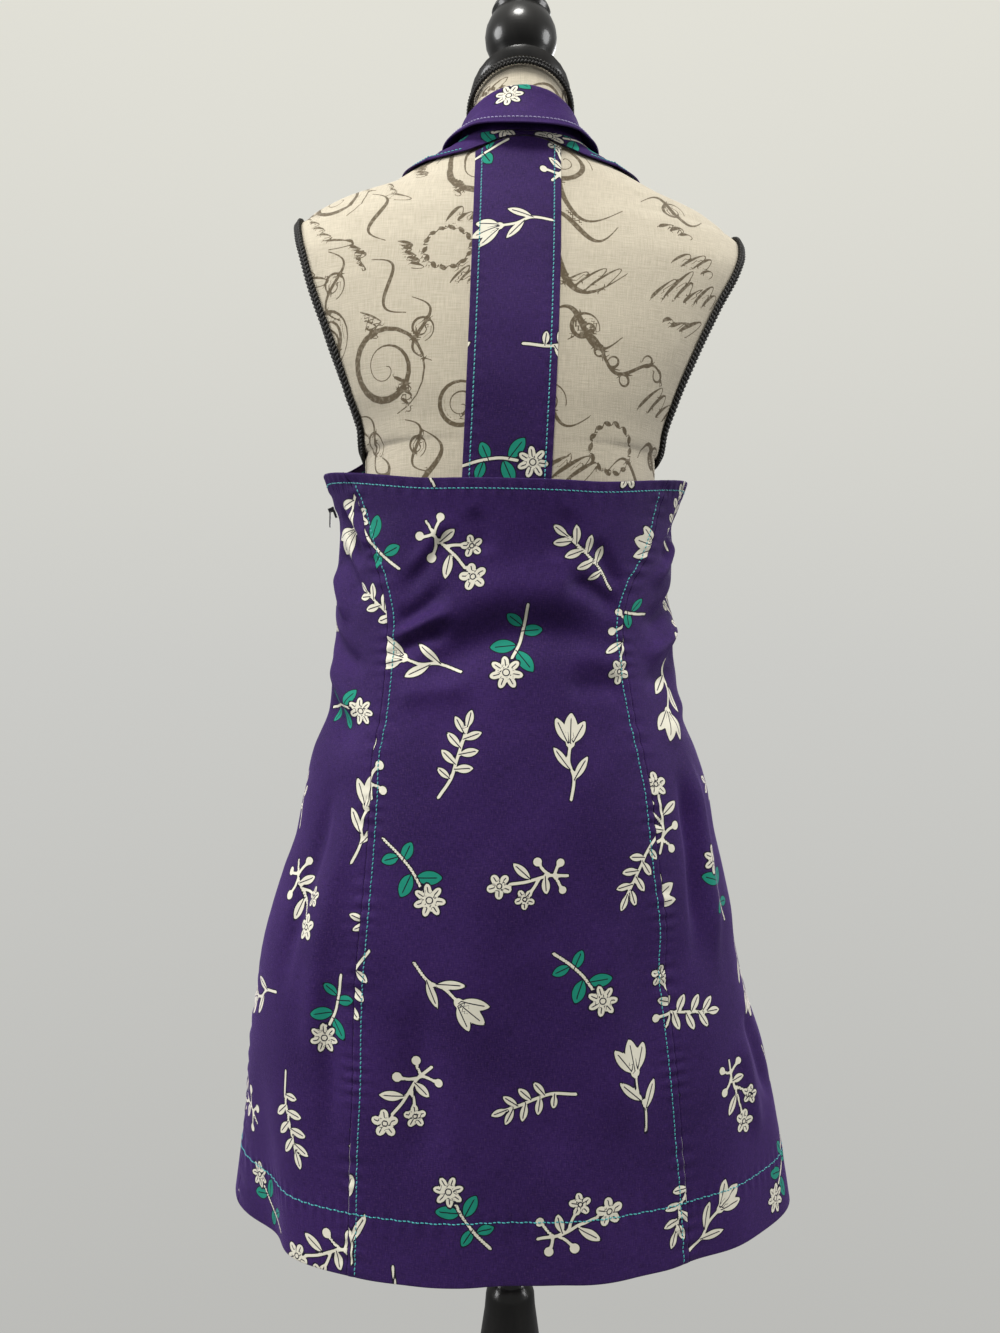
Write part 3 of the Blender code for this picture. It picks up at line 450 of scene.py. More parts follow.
def curve_at(table, column, at):
    """A table's column as a smooth curve over its first column, without overshoot."""
    rows = np.array(table, float)
    x, y = rows[:, 0], rows[:, column]
    run = np.diff(x)
    rise = np.diff(y) / run
    slope = np.zeros_like(y)
    slope[0], slope[-1] = rise[0], rise[-1]
    same_way = rise[:-1] * rise[1:] > 0
    before, after = (np.where(same_way, part, 1) for part in (rise[:-1], rise[1:]))
    mean = (run[:-1] + run[1:]) / (run[:-1] / after + run[1:] / before)
    slope[1:-1] = np.where(same_way, mean, 0)
    at = np.clip(at, x[0], x[-1])
    i = np.clip(np.searchsorted(x, at) - 1, 0, len(run) - 1)
    u = (at - x[i]) / run[i]
    start = (2 * u**3 - 3 * u**2 + 1) * y[i] + (u**3 - 2 * u**2 + u) * run[i] * slope[i]
    return start + (3 * u**2 - 2 * u**3) * y[i + 1] + (u**3 - u**2) * run[i] * slope[i + 1]


def columns_at(table, at):
    """All of a table's columns but the first, as curves over the first."""
    return [curve_at(table, column, at) for column in range(1, len(table[0]))]


def numbered(table):
    return np.array([(i, *row) for i, row in enumerate(table)], float)


def smooth_step(low, high, at):
    u = np.clip((at - low) / (high - low), 0, 1)
    return u * u * (3 - 2 * u)


def bump(away, half_width):
    return np.exp(-((away / half_width) ** 2))


def wrapped(degrees):
    return (degrees + 180) % 360 - 180


def unit(vectors):
    return vectors / np.linalg.norm(vectors, axis=-1, keepdims=True)


def circle(angle):
    return np.stack([np.cos(angle), np.sin(angle)], -1)


def run_along(path):
    """Length along a path up to each of its points."""
    return np.concatenate([[0], np.cumsum(np.linalg.norm(np.diff(path, axis=0), axis=1))])


def interpolated(at, run, points):
    return np.stack([np.interp(at, run, column) for column in points.T], -1)


def ripple(at, pitch, stray, slow, start=0.0):
    """A sine whose pitch wanders, as puckers do."""
    return np.sin(pitch * at + stray * np.sin(slow * at) + start)


def path_distance(at, path):
    """Distance from points to a line, and how far along the line each is, as a share."""
    run = np.diff(path, axis=0)
    off = at[:, None] - path[:-1]
    share = np.clip((off * run).sum(2) / (run**2).sum(1), 0, 1)
    away = np.linalg.norm(off - share[..., None] * run, axis=2)
    best = away.argmin(1)
    pick = np.arange(len(at)), best
    return away[pick], (best + share[pick]) / len(run)


def plate_bulge(z):
    """How much wider the form would be between its armhole plates, which cut it off."""
    return 1 + PLATE_BULGE * np.sqrt(np.clip(1 - ((z - PLATE_MIDDLE) / PLATE_REACH) ** 2, 0, 1))


def section_radius(table, angle, z):
    """Distance from the section's centre to its rim, a superellipse with unlike back and front."""
    half, back, front, square = (curve_at(table, column, z) for column in (1, 2, 3, 4))
    if table is BODY:
        half = half * plate_bulge(z)
    across = np.abs(np.sin(angle)) / half
    along = np.abs(np.cos(angle)) / np.where(np.cos(angle) >= 0, back, front)
    return (across**square + along**square) ** (-1 / square)


def dress_radius(degrees, z):
    return section_radius(DRESS, np.radians(degrees), z)


def fold_depth(angle, z):
    depth = np.zeros(np.broadcast(angle, z).shape)
    for centre, half_width, at_hem, top in FOLDS:
        fade = np.clip((top - z) / (top - HEM), 0, 1)
        depth += at_hem * fade**1.5 * bump(wrapped(np.degrees(angle) - centre), half_width)
    return depth


def around(sway, radius, angle, z):
    return np.stack([sway + radius * np.sin(angle), radius * np.cos(angle), z + 0 * radius], -1)


def body_point(angle, z):
    return around(curve_at(BODY, SWAY, z), section_radius(BODY, angle, z), angle, z)


def dress_point(angle, z):
    on_form = smooth_step(*DRESS_MEETS_FORM, z)
    free = section_radius(DRESS, angle, z) + fold_depth(angle, z)
    radius = free * (1 - on_form) + section_radius(BODY, angle, z) * on_form
    sway = curve_at(DRESS, SWAY, z) * (1 - on_form) + curve_at(BODY, SWAY, z) * on_form
    return around(sway, radius, angle, z)


def lifted(surface, angle, z, lift):
    """A point of a surface, moved out along the surface's normal. Angles in degrees."""
    angle, z = np.radians(np.asarray(angle, float)), np.asarray(z, float)
    step = 1e-4
    along = surface(angle + step, z) - surface(angle - step, z)
    up = surface(angle, z + step) - surface(angle, z - step)
    normal = unit(np.cross(up, along))
    return surface(angle, z) + normal * np.asarray(lift, float)[..., None]


def way_out(surface, angle, z):
    return lifted(surface, angle, z, 1.0) - lifted(surface, angle, z, 0.0)


def back_edge(angle):
    return BACK_EDGE + SIDE_RISE * smooth_step(30, 90, np.abs(angle))


def seam(column):
    return lambda z: curve_at(SEAMS, column, z)


def creases(angle, z):
    """Lift of the listed creases, which fade out at both ends."""
    radius = dress_radius(angle, z)
    lift = np.zeros(angle.shape)
    t = np.linspace(0, 1, 9)
    shares = np.stack([2 * (t - 0.5) * (t - 1), 4 * t * (1 - t), 2 * t * (t - 0.5)])  # a parabola's
    for start, low, bend, middle, end, high, depth, half_width in CREASES:
        turn = wrapped(np.array([start, bend, end]) - bend) @ shares
        rise = np.array([low, middle, high]) @ shares
        across = np.radians(turn) * dress_radius(turn + bend, rise)
        path = np.stack([across, rise], -1)
        reach = 3 * half_width
        x = np.radians(wrapped(angle - bend)) * radius
        inside = (x > across.min() - reach) & (x < across.max() + reach)
        near = inside & (z > rise.min() - reach) & (z < rise.max() + reach)
        away, share = path_distance(np.stack([x[near], z[near]], -1), path)
        fade = smooth_step(0, 0.3, share) * (1 - smooth_step(0.7, 1, share))
        lift[near] += depth * fade * bump(away, half_width)
    return lift


def seam_relief(angle, z):
    """Lift beside the seams: the turnings, the stitching's groove and its puckers."""
    radius = dress_radius(angle, z)
    lift = np.zeros(np.broadcast(angle, z).shape)
    puckers = ripple(z, 560, 2.2, 61) * (0.6 + 0.4 * np.sin(97 * z + 1.0))
    for column, inwards in ((LEFT_PRINCESS, -1), (RIGHT_PRINCESS, 1)):
        off = np.radians(angle - seam(column)(z)) * radius
        inside = off * inwards
        lift += TURNING_LIFT * smooth_step(-0.001, 0.0015, inside) * bump(inside, 0.0065)
        lift -= GROOVE_DEPTH * bump(inside - STITCH_IN, GROOVE_HALF)
        lift += PUCKER_PRINCESS * puckers * bump(inside - 0.001, 0.009)
    for column in (LEFT_SIDE, RIGHT_SIDE):
        off = np.radians(wrapped(angle - seam(column)(z))) * radius
        lift += PUCKER_SIDE * ripple(z, 430, 1.7, 47) * bump(off, 0.010)
    along = np.radians(angle) * radius
    above_hem = z - HEM - HEM_STITCH
    waves = ripple(along, 470, 2.0, 39)
    lift += PUCKER_HEM * waves * bump(above_hem + 0.002, 0.009) - GROOVE_DEPTH * bump(above_hem, GROOVE_HALF)
    under_top = back_edge(angle) - z - TOP_STITCH
    behind = np.abs(wrapped(angle)) < 95
    ribs = ripple(along, 1250, 2.5, 31)
    rolled = PUCKER_TOP * waves * bump(under_top, 0.006) + RIBS_TOP * ribs * bump(under_top - 0.004, 0.003)
    lift += np.where(behind, rolled - GROOVE_DEPTH * bump(under_top, GROOVE_HALF), 0)
    return lift


def unevenness(angle, z):
    """The cloth's own slow waves, in no pattern."""
    a = np.radians(angle)
    slow = np.sin(5 * a + 19 * z + 1.3) * np.sin(27 * z + 2 * a) + 0.6 * np.sin(9 * a - 34 * z)
    quick = np.sin(21 * a + 63 * z + np.sin(40 * z)) * np.sin(88 * z - 6 * a + 0.7)
    return 0.00042 * slow + 0.00016 * quick


def cloth_point(angle, z, inwards=0.0, base=0.0):
    """A point of the dress's outer face, or that far inside it."""
    loose = 1 - 0.7 * smooth_step(*DRESS_MEETS_FORM, z)
    relief = (creases(angle, z) + unevenness(angle, z)) * loose + seam_relief(angle, z)
    return lifted(dress_point, angle, z, base + WALL / 2 + relief - inwards)


def turned_edge(length, turn):
    """Distances in from an edge, with how deep the cloth lies there: a flap inside, a fold, then outside."""
    flap = [(length - i * length / turn, 1.0) for i in range(turn)]
    fold = [(0.0008, 0.95), (0.0002, 0.75), (0.0, 0.5), (0.0002, 0.25), (0.0008, 0.05)]
    return flap + fold


def steps_between(low, high, spacing):
    return np.linspace(low, high, max(3, round((high - low) / (spacing * COARSE)) + 1))


def edge_columns(width, spacing, turn_low, turn_high):
    """Places across a panel of that width: from one turned edge over the face to the other."""
    low = turned_edge(turn_low, 2) if turn_low else []
    high = [(width - off, deep) for off, deep in turned_edge(turn_high, 2)][::-1] if turn_high else []
    face_low, face_high = (EDGE_ROOM if turn else 0.0 for turn in (turn_low, turn_high))
    face = steps_between(face_low, width - face_high, spacing)
    places = low + [(off, 0.0) for off in face] + high
    return np.array(places).T


def metric(points, middle):
    """Flat coordinates of a grid in millimetres: along each row from one column, and up that column."""
    across = np.linalg.norm(np.diff(points, axis=1), axis=2)
    across = np.concatenate([np.zeros((len(points), 1)), np.cumsum(across, axis=1)], axis=1)
    across -= across[:, middle : middle + 1]
    up = run_along(points[:, middle])[:, None] + 0 * across
    return np.stack([across, up], -1) * 1000


def grid_faces(rows, columns, start=0, flip=False):
    corner = start + np.arange(rows * columns).reshape(rows, columns)
    quads = [corner[:-1, :-1], corner[:-1, 1:], corner[1:, 1:], corner[1:, :-1]]
    if flip:
        quads = quads[::-1]
    return np.stack(quads, -1).reshape(-1, 4).tolist()


def ring_faces(corner):
    """Quads between each ring of corners and the next, with each ring closed on itself."""
    beside = np.roll(corner, -1, -1)
    quads = [corner[..., :-1, :], beside[..., :-1, :], beside[..., 1:, :], corner[..., 1:, :]]
    return np.stack(quads, -1).reshape(-1, 4).tolist()


def mesh_object(name, points, faces, finish, smooth=True):
    mesh = bpy.data.meshes.new(name)
    mesh.from_pydata(np.asarray(points).tolist(), [], list(faces))
    mesh.polygons.foreach_set("use_smooth", [smooth] * len(mesh.polygons))
    mesh.materials.append(finish)
    made = bpy.data.objects.new(name, mesh)
    bpy.context.scene.collection.objects.link(made)
    return made


def add_attribute(obj, name, kind, values):
    made = obj.data.attributes.new(name, kind, "POINT")
    made.data.foreach_set("vector" if kind == "FLOAT_VECTOR" else "value", values.astype(np.float32).ravel())


def add_flat_map(obj, flat):
    """The flat cloth as a UV map that fills the square, and in millimetres for the weave."""
    low, high = flat.min(0), flat.max(0)
    uv = 0.01 + 0.98 * (flat - low) / (high - low)
    corners = np.empty(len(obj.data.loops), np.int32)
    obj.data.loops.foreach_get("vertex_index", corners)
    obj.data.uv_layers.new(name="OFBake").uv.foreach_set("vector", uv[corners].astype(np.float32).ravel())
    add_attribute(obj, "flat", "FLOAT_VECTOR", np.column_stack([flat, 0 * flat[:, 0]]))


def weld(obj):
    merge = obj.modifiers.new("Weld", "WELD")
    merge.merge_threshold = WELD_REACH


class Fields:
    """Signed distances that the print's shader reads: cream and teal shapes, and the nearest line."""

    def __init__(self, flat):
        self.flat = flat
        self.cream, self.teal, self.room, self.across = np.full((4, len(flat)), FAR)

    def near(self, centre, reach):
        return np.flatnonzero((np.abs(self.flat - centre) < reach).all(axis=1))

    def stroke(self, path, half_widths, room=LINE_ROOM):
        """Keeps the signed distance across a line, in half widths, wherever this line is the nearest."""
        path, half_widths = np.asarray(path), np.asarray(half_widths)
        reach = half_widths.max() + 2 * room
        low, high = path.min(0) - reach, path.max(0) + reach
        found = np.flatnonzero(((self.flat > low) & (self.flat < high)).all(axis=1))
        if not len(found):
            return
        at = self.flat[found][:, None]
        run = np.diff(path, axis=0)
        share = ((at - path[:-1]) * run).sum(2) / (run**2).sum(1)
        held = np.clip(share, 0, 1)
        off = at - path[:-1] - held[..., None] * run
        away = np.linalg.norm(off, axis=2)
        half = half_widths[:-1] + held * np.diff(half_widths)
        best = (away - half).argmin(1)
        pick = np.arange(len(found)), best
        side = np.sign(run[best, 0] * off[pick][:, 1] - run[best, 1] * off[pick][:, 0])
        past_end = ((best == 0) & (share[pick] < 0)) | ((best == len(run) - 1) & (share[pick] > 1))
        gap = away[pick] - half[pick] - np.where(past_end, 0, room)
        closer = gap < self.room[found]
        self.room[found[closer]] = gap[closer]
        self.across[found[closer]] = (side * away[pick] / half[pick])[closer]

    def hide(self, hidden):
        """Leaves the print off the turned-in edges, which show only as a line in a seam."""
        for values in (self.cream, self.teal, self.room):
            values[hidden] = FAR

    def write(self, obj):
        print_values = np.stack([self.cream, self.teal, self.room], -1)
        add_attribute(obj, "print", "FLOAT_VECTOR", print_values)
        add_attribute(obj, "line", "FLOAT", self.across)


def smooth_path(points):
    """A curve through the points, with its ends included."""
    at = np.linspace(0, len(points) - 1, (len(points) - 1) * 8 + 1)
    return np.stack(columns_at(numbered(points), at), -1)


def turn_matrix(turn):
    return np.array([[math.cos(turn), -math.sin(turn)], [math.sin(turn), math.cos(turn)]])


def lens_distance(at, start, end, half_width):
    """Signed distance to a pointed leaf."""
    start, end = np.array(start), np.array(end)
    run = (end - start) / np.linalg.norm(end - start)
    off = at - (start + end) / 2
    along, aside = off @ run, np.abs(off @ (-run[1], run[0]))
    half_length = np.linalg.norm(end - start) / 2
    radius = (half_length**2 + half_width**2) / (2 * half_width)
    return np.hypot(along, aside + radius - half_width) - radius


def petal_distance(at, centre, radius, count):
    off = at - centre
    turn = 2 * np.pi / count
    folded = (np.arctan2(off[:, 0], off[:, 1]) + turn / 2) % turn - turn / 2
    away = np.linalg.norm(off, axis=1)
    long_half, short_half = 0.40 * radius, 0.40 * radius * min(1, 4.2 / count)
    x = (away * np.cos(folded) - 0.6 * radius) / long_half
    y = away * np.sin(folded) / short_half
    return np.minimum((np.hypot(x, y) - 1) * short_half, away - 0.3 * radius)


def stamp_sprig(fields, kind, centre, turn, scale):
    """Prints one sprig: its shapes into the fields, and its stems and veins as lines."""
    centre = np.array(centre, float)
    spin = turn_matrix(turn) * scale
    found = fields.near(centre, SPRIG_REACH * scale)
    if not len(found):
        return
    at = (fields.flat[found] - centre) @ spin / scale**2
    cream, teal = fields.cream[found], fields.teal[found]
    lines = []
    for stem in kind["stems"]:
        cream = np.minimum(cream, path_distance(at, smooth_path(stem))[0] * scale - STEM_HALF)
    for x, y, to_x, to_y, half_width, is_teal in kind["leaves"]:
        away = lens_distance(at, (x, y), (to_x, to_y), half_width) * scale
        if is_teal:
            teal = np.minimum(teal, away)
        else:
            cream = np.minimum(cream, away)
        start, end = np.array((x, y)), np.array((to_x, to_y))
        lines.append(start + np.array([[0.0], [0.45], [0.78]]) * (end - start))
    for x, y, radius, count in kind["petals"]:
        cream = np.minimum(cream, petal_distance(at, (x, y), radius, count) * scale)
        for i in range(count):
            way = np.array((math.sin(2 * math.pi * i / count), math.cos(2 * math.pi * i / count)))
            lines.append(np.array((x, y)) + way * radius * np.array([[0.38], [0.55], [0.74]]))
        lines.append(np.array((x, y)) + 0.2 * radius * circle(np.linspace(0, 2 * np.pi, 13)))
    for x, y, radius in kind["discs"]:
        cream = np.minimum(cream, (np.linalg.norm(at - (x, y), axis=1) - radius) * scale)
    fields.cream[found], fields.teal[found] = cream, teal
    for line in lines:
        path = line @ spin.T + centre
        fields.stroke(path, np.full(len(path), LINE_HALF))


def print_sprigs(flat, seed):
    """Sprigs tossed over the cloth, one to a cell of a staggered grid, each turned its own way."""
    draw = np.random.default_rng(seed)
    fields = Fields(flat)
    low, high = flat.min(0) - SPRIG_CELL, flat.max(0) + SPRIG_CELL
    start = low + draw.uniform(0, SPRIG_CELL, 2)
    for row, y in enumerate(np.arange(start[1], high[1], SPRIG_ROW)):
        for column, x in enumerate(np.arange(start[0] - (row % 2) * SPRIG_CELL / 2, high[0], SPRIG_CELL)):
            kind = SPRIGS[(column + 2 * row + (row // 2)) % len(SPRIGS)]
            stray = draw.uniform(-SPRIG_STRAY, SPRIG_STRAY, 2)
            turn = draw.uniform(0, 2 * np.pi)
            scale = draw.uniform(*SPRIG_SCALE)
            stamp_sprig(fields, kind, (x + stray[0], y + stray[1]), turn, scale)
    return fields


def spiral(size, turns, swell):
    """A pen scroll that winds in on itself, thick in its middle."""
    t = np.linspace(0, 1, 46)
    angle = 2 * np.pi * turns * t
    radius = size * (1 - t) ** 0.8 + 0.06 * size
    path = radius[:, None] * circle(angle)
    return [(path, 0.40 + swell * np.sin(np.pi * np.clip(1.4 * t, 0, 1)) ** 2)]


def wave(size, swell):
    """One long S, thick where the pen comes down."""
    t = np.linspace(0, 1, 30)
    path = np.stack([size * (2 * t - 1), 0.42 * size * np.sin(2 * np.pi * t)], -1)
    return [(path, 0.40 + swell * np.sin(np.pi * t) ** 2)]


def loops(draw, size, swell):
    """A slanting run of pen loops of unlike heights, with a tail at each end."""
    count = draw.integers(3, 7)
    t = np.linspace(0, 2 * np.pi * count, count * 14)
    knots = np.column_stack([np.arange(count + 2), draw.uniform(0.2, 1.0, count + 2) ** 1.5])
    height = 0.75 * size * curve_at(knots, 1, t / (2 * np.pi))
    pitch = 0.27 * size
    y = height * (1 - np.cos(t)) / 2
    x = pitch * t / (2 * np.pi) - 0.24 * pitch * np.sin(t) + 0.75 * y
    path = np.stack([x - pitch * count / 2, y], -1)
    return [(path, 0.36 + 0.55 * swell * np.clip(np.sin(t), 0, 1) ** 2)]


def vine(size, swell):
    """A wavy stem with small curled tendrils."""
    t = np.linspace(0, 1, 34)
    stem = np.stack([size * (2 * t - 1), 0.22 * size * np.sin(3 * np.pi * t)], -1)
    strokes = [(stem, 0.38 + 0.5 * swell * np.sin(np.pi * t))]
    for i, side in zip(range(4, 32, 5), (1, -1) * 3):
        curl = np.linspace(0, 1.5 * np.pi, 12)
        radius = 0.17 * size * (1 - curl / 7)
        loop = np.stack([radius * np.sin(curl), side * radius * (1 - np.cos(curl))], -1)
        strokes.append((stem[i] + loop, np.linspace(0.34 + 0.4 * swell, 0.4, 12)))
    return strokes


def wreath(size):
    """A ring of short leaves."""
    strokes = []
    for turn in np.linspace(0, 2 * np.pi, 15)[:-1]:
        along = turn + np.linspace(0, 0.3, 6)
        leaf = size * np.linspace(0.86, 1.0, 6)[:, None] * circle(along)
        strokes.append((leaf, 0.4 + 1.6 * np.sin(np.linspace(0, np.pi, 6))))
    return strokes


FLOURISHES = (
    # share of all, width in sizes, strokes
    (0.15, 1.2, lambda draw, size, swell: spiral(size * 0.6, 2.3, swell)),
    (0.16, 2.0, lambda draw, size, swell: wave(size, swell)),
    (0.42, 2.4, loops),
    (0.08, 2.0, lambda draw, size, swell: vine(size, swell)),
    (0.16, 2.2, lambda draw, size, swell: wave(size, swell) + spiral(size * 0.38, 1.6, swell * 0.6)),
    (0.03, 1.7, lambda draw, size, swell: wreath(size * 0.8)),
)
SOMETIMES_LARGE = (0, 1)  # rows of FLOURISHES


def print_scrolls(flat, seed):
    """Pen flourishes tossed over the linen in rough rows: scrolls, waves, loops and vines, no lettering."""
    draw = np.random.default_rng(seed)
    fields = Fields(flat)
    low, high = flat.min(0), flat.max(0)
    for y in np.arange(low[1], high[1] + SCROLL_ROW, SCROLL_ROW):
        x = low[0] - draw.uniform(0, 60)
        while x < high[0] + 40:
            kind = draw.choice(len(FLOURISHES), p=[row[0] for row in FLOURISHES])
            size, swell = draw.uniform(*SCROLL_SIZE), draw.uniform(*SCROLL_SWELL)
            steep = x > SCROLLS_STEEP_FROM
            if steep:
                size, swell = 0.8 * size, 0.8 * swell
            if kind in SOMETIMES_LARGE and draw.uniform() < 0.5:
                size, swell = size * 1.5, swell * 1.4
            width = size * FLOURISHES[kind][1]
            strokes = FLOURISHES[kind][2](draw, size, swell)
            spin = turn_matrix(draw.uniform(*SCROLL_TURN) + STEEPER_BY * steep)
            centre = np.array([x + width / 2, y + draw.uniform(-6, 6)])
            for path, half in strokes:
                fields.stroke((path * (-1, 1)) @ spin.T + centre, half)
            x += width * (STEEP_ROOM if steep else 1.0) + draw.uniform(2, 12)
    return fields


class Nodes:
    """A node tree, with short calls that add its nodes."""

    def __init__(self, owner):
        owner.use_nodes = True
        self.tree = owner.node_tree

    def node(self, kind, inputs=(), **settings):
        made = self.tree.nodes.new("ShaderNode" + kind)
        for setting, value in settings.items():
            setattr(made, setting, value)
        for socket, value in dict(inputs).items():
            self.give(made.inputs[socket], value)
        return made

    def give(self, socket, value):
        if isinstance(value, bpy.types.NodeSocket):
            self.tree.links.new(value, socket)
        else:
            socket.default_value = value

    def math(self, operation, a, b=0.0):
        return self.node("Math", {0: a, 1: b}, operation=operation).outputs[0]

    def plus(self, a, b):
        return self.math("ADD", a, b)

    def times(self, a, b):
        return self.math("MULTIPLY", a, b)

    def split(self, vector):
        return self.node("SeparateXYZ", {0: vector}).outputs

    def mix(self, share, a, b):
        a, b = ((*value, 1.0) if isinstance(value, tuple) else value for value in (a, b))
        return self.node("Mix", {0: share, 6: a, 7: b}, data_type="RGBA").outputs[2]

    def ramp(self, value, low, high, to_low=0.0, to_high=1.0):
        inputs = {0: value, 1: low, 2: high, 3: to_low, 4: to_high}
        return self.node("MapRange", inputs).outputs[0]

    def attribute(self, name, output):
        return self.node("Attribute", attribute_name=name).outputs[output]

    def noise(self, vector, scale, detail, stretch=(1.0, 1.0, 1.0)):
        if stretch != (1.0, 1.0, 1.0):
            vector = self.node("VectorMath", {0: vector, 1: stretch}, operation="MULTIPLY").outputs[0]
        inputs = {"Vector": vector, "Scale": scale, "Detail": detail}
        return self.node("TexNoise", inputs).outputs[0]

    def place(self, kind="Object"):
        return self.node("TexCoord").outputs[kind]


class Shader(Nodes):
    """A Principled material. Its settings are the shader's sockets, with _ for each space."""

    def __init__(self, name, **settings):
        self.material = bpy.data.materials.new(name)
        super().__init__(self.material)
        self.main = self.tree.nodes["Principled BSDF"]
        for socket, value in settings.items():
            self.main.inputs[socket.replace("_", " ")].default_value = value

    def bump(self, height, strength, distance):
        made = self.node("Bump", {"Height": height, "Strength": strength, "Distance": distance})
        self.give(self.main.inputs["Normal"], made.outputs[0])

    def finish(self, colour, height, strength, distance):
        self.give(self.main.inputs["Base Color"], colour)
        self.bump(height, strength, distance)
        return self.material


def weave(shader, flat, detail, across, along):
    """Warp and weft: two sets of uneven threads, long in one direction and fine in the other."""
    warp, weft = (shader.noise(flat, 1.0, detail, (*way, 1.0)) for way in ((across, along), (along, across)))
    return shader.plus(warp, weft)


def weave_height(shader, flat, threads):
    """Plain weave: two sets of even threads that pass over one another."""
    x, y, _ = shader.split(flat)
    warp, weft = (shader.math("SINE", shader.times(place, threads)) for place in (x, y))
    return shader.times(warp, weft)


def below(shader, value, limit, soft=0.05):
    """1 where the value is under the limit, with a soft edge."""
    return shader.ramp(value, limit + soft, limit - soft)


def add_lines(shader, colour, ink):
    """Lines of the print, from the signed distance across the nearest line."""
    room = shader.split(shader.attribute("print", "Vector"))[2]
    across = shader.math("ABSOLUTE", shader.attribute("line", "Fac"))
    on_line = shader.times(below(shader, across, 1.0, 0.12), below(shader, room, 0.0, 0.1))
    return shader.mix(on_line, colour, ink)


def cotton():
    """Purple cotton sateen with the print that its meshes carry."""
    shader = Shader("purple_cotton", Roughness=0.66, Specular_IOR_Level=0.09, Sheen_Weight=0.13,
                    Sheen_Roughness=0.34, Sheen_Tint=(0.55, 0.36, 1.0, 1.0))
    flat = shader.attribute("flat", "Vector")
    place = shader.place()
    clouds = shader.noise(place, 14.0, 4.0)
    colour = shader.mix(shader.ramp(clouds, 0.32, 0.68), PURPLE_DEEP, PURPLE)
    threads = weave(shader, flat, 2.0, 2.4, 0.16)
    flecks = shader.ramp(threads, 0.72, 1.28, 0.66, 1.36)
    colour = shader.node("VectorMath", {0: colour, "Scale": flecks}, operation="SCALE").outputs[0]
    coarse, fine = (shader.noise(flat, 1.0, 2.0, stretch) for stretch in ((1.2, 0.34, 1.0), (0.5, 1.3, 1.0)))
    slubs = shader.times(coarse, fine)
    colour = shader.mix(shader.ramp(slubs, 0.27, 0.42, 0.0, 0.42), colour, HEATHER)
    cream, teal, _ = shader.split(shader.attribute("print", "Vector"))
    for shape, paint in ((teal, TEAL), (cream, CREAM)):
        colour = shader.mix(below(shader, shape, OUTLINE), colour, PRINT_BLACK)
        colour = shader.mix(below(shader, shape, -OUTLINE), colour, paint)
    colour = add_lines(shader, colour, PRINT_BLACK)
    wrong_side = shader.node("NewGeometry").outputs["Backfacing"]
    colour = shader.mix(shader.times(wrong_side, 0.85), colour, PURPLE_WRONG_SIDE)
    fuzz = shader.noise(place, 220.0, 3.0)
    height = shader.plus(shader.times(weave_height(shader, flat, 11.0), 0.25), threads)
    return shader.finish(colour, shader.plus(height, fuzz), 0.35, 0.0003)


def linen():
    """Natural linen with slubs and pen flourishes."""
    shader = Shader("linen_cloth", Roughness=0.86, Specular_IOR_Level=0.2, Sheen_Weight=0.15,
                    Sheen_Roughness=0.5)
    flat = shader.attribute("flat", "Vector")
    threads = weave(shader, flat, 3.0, 1.5, 0.07)
    colour = shader.mix(shader.ramp(threads, 0.78, 1.22), LINEN_DARK, LINEN)
    specks = shader.noise(flat, 0.55, 4.0)
    colour = shader.mix(shader.ramp(specks, 0.70, 0.78, 0.0, 0.35), colour, TAUPE)
    worn = shader.noise(flat, 0.35, 5.0)
    ink = shader.mix(shader.ramp(worn, 0.50, 0.75, 0.0, 0.45), TAUPE, LINEN_DARK)
    height = shader.plus(threads, shader.times(weave_height(shader, flat, 7.0), 0.3))
    return shader.finish(add_lines(shader, colour, ink), height, 0.5, 0.0005)


def mottled(name, scale, detail, low, high, colours, strength, distance, **settings):
    """A plain material whose colour and relief both follow one noise."""
    shader = Shader(name, **settings)
    cloud = shader.noise(shader.place(), scale, detail)
    return shader.finish(shader.mix(shader.ramp(cloud, low, high), *colours), cloud, strength, distance)


def thread(name, colour):
    colours = tuple(0.62 * value for value in colour), colour
    return mottled(name, 2600.0, 1.0, 0.35, 0.65, colours, 0.4, 0.0001, Roughness=0.5, Sheen_Weight=0.3)


def braid_cord():
    settings = {"Roughness": 0.5, "Specular_IOR_Level": 0.3, "Sheen_Weight": 0.04, "Sheen_Roughness": 0.3}
    return mottled("braid_cord", 1500.0, 2.0, 0.35, 0.7, BRAID_COLOURS, 0.6, 0.0002, **settings)


def enamel():
    settings = {"Metallic": 0.6, "Roughness": 0.35}
    return mottled("zip_enamel", 700.0, 3.0, 0.5, 0.75, ENAMEL_COLOURS, 0.15, 0.0001, **settings)


def black_wood():
    """Glossy black paint over turned wood, with faint lathe rings and dust."""
    shader = Shader("black_wood", Specular_IOR_Level=0.25, Coat_Weight=0.35, Coat_Roughness=0.12)
    place = shader.place()
    grain = shader.noise(place, 60.0, 4.0, (1.0, 1.0, 0.12))
    rings = shader.noise(place, 900.0, 1.0, (0.02, 0.02, 1.0))
    shader.give(shader.main.inputs["Roughness"], shader.ramp(grain, 0.25, 0.8, 0.22, 0.42))
    colour = shader.mix(shader.ramp(grain, 0.3, 0.75), *WOOD_COLOURS)
    return shader.finish(colour, shader.plus(rings, grain), 0.10, 0.0004)


def place_piece(obj, slot, *nodes):
    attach(obj, BODY_OF_ALL)
    if nodes:
        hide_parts(*nodes)


def half_gap(angle, z):
    """Half the line that shows at a seam, which is sewn here, so finer than the solids' gap."""
    return np.degrees(SEAM_LINE * GAP * SEAM_SPREAD / dress_radius(angle, z))


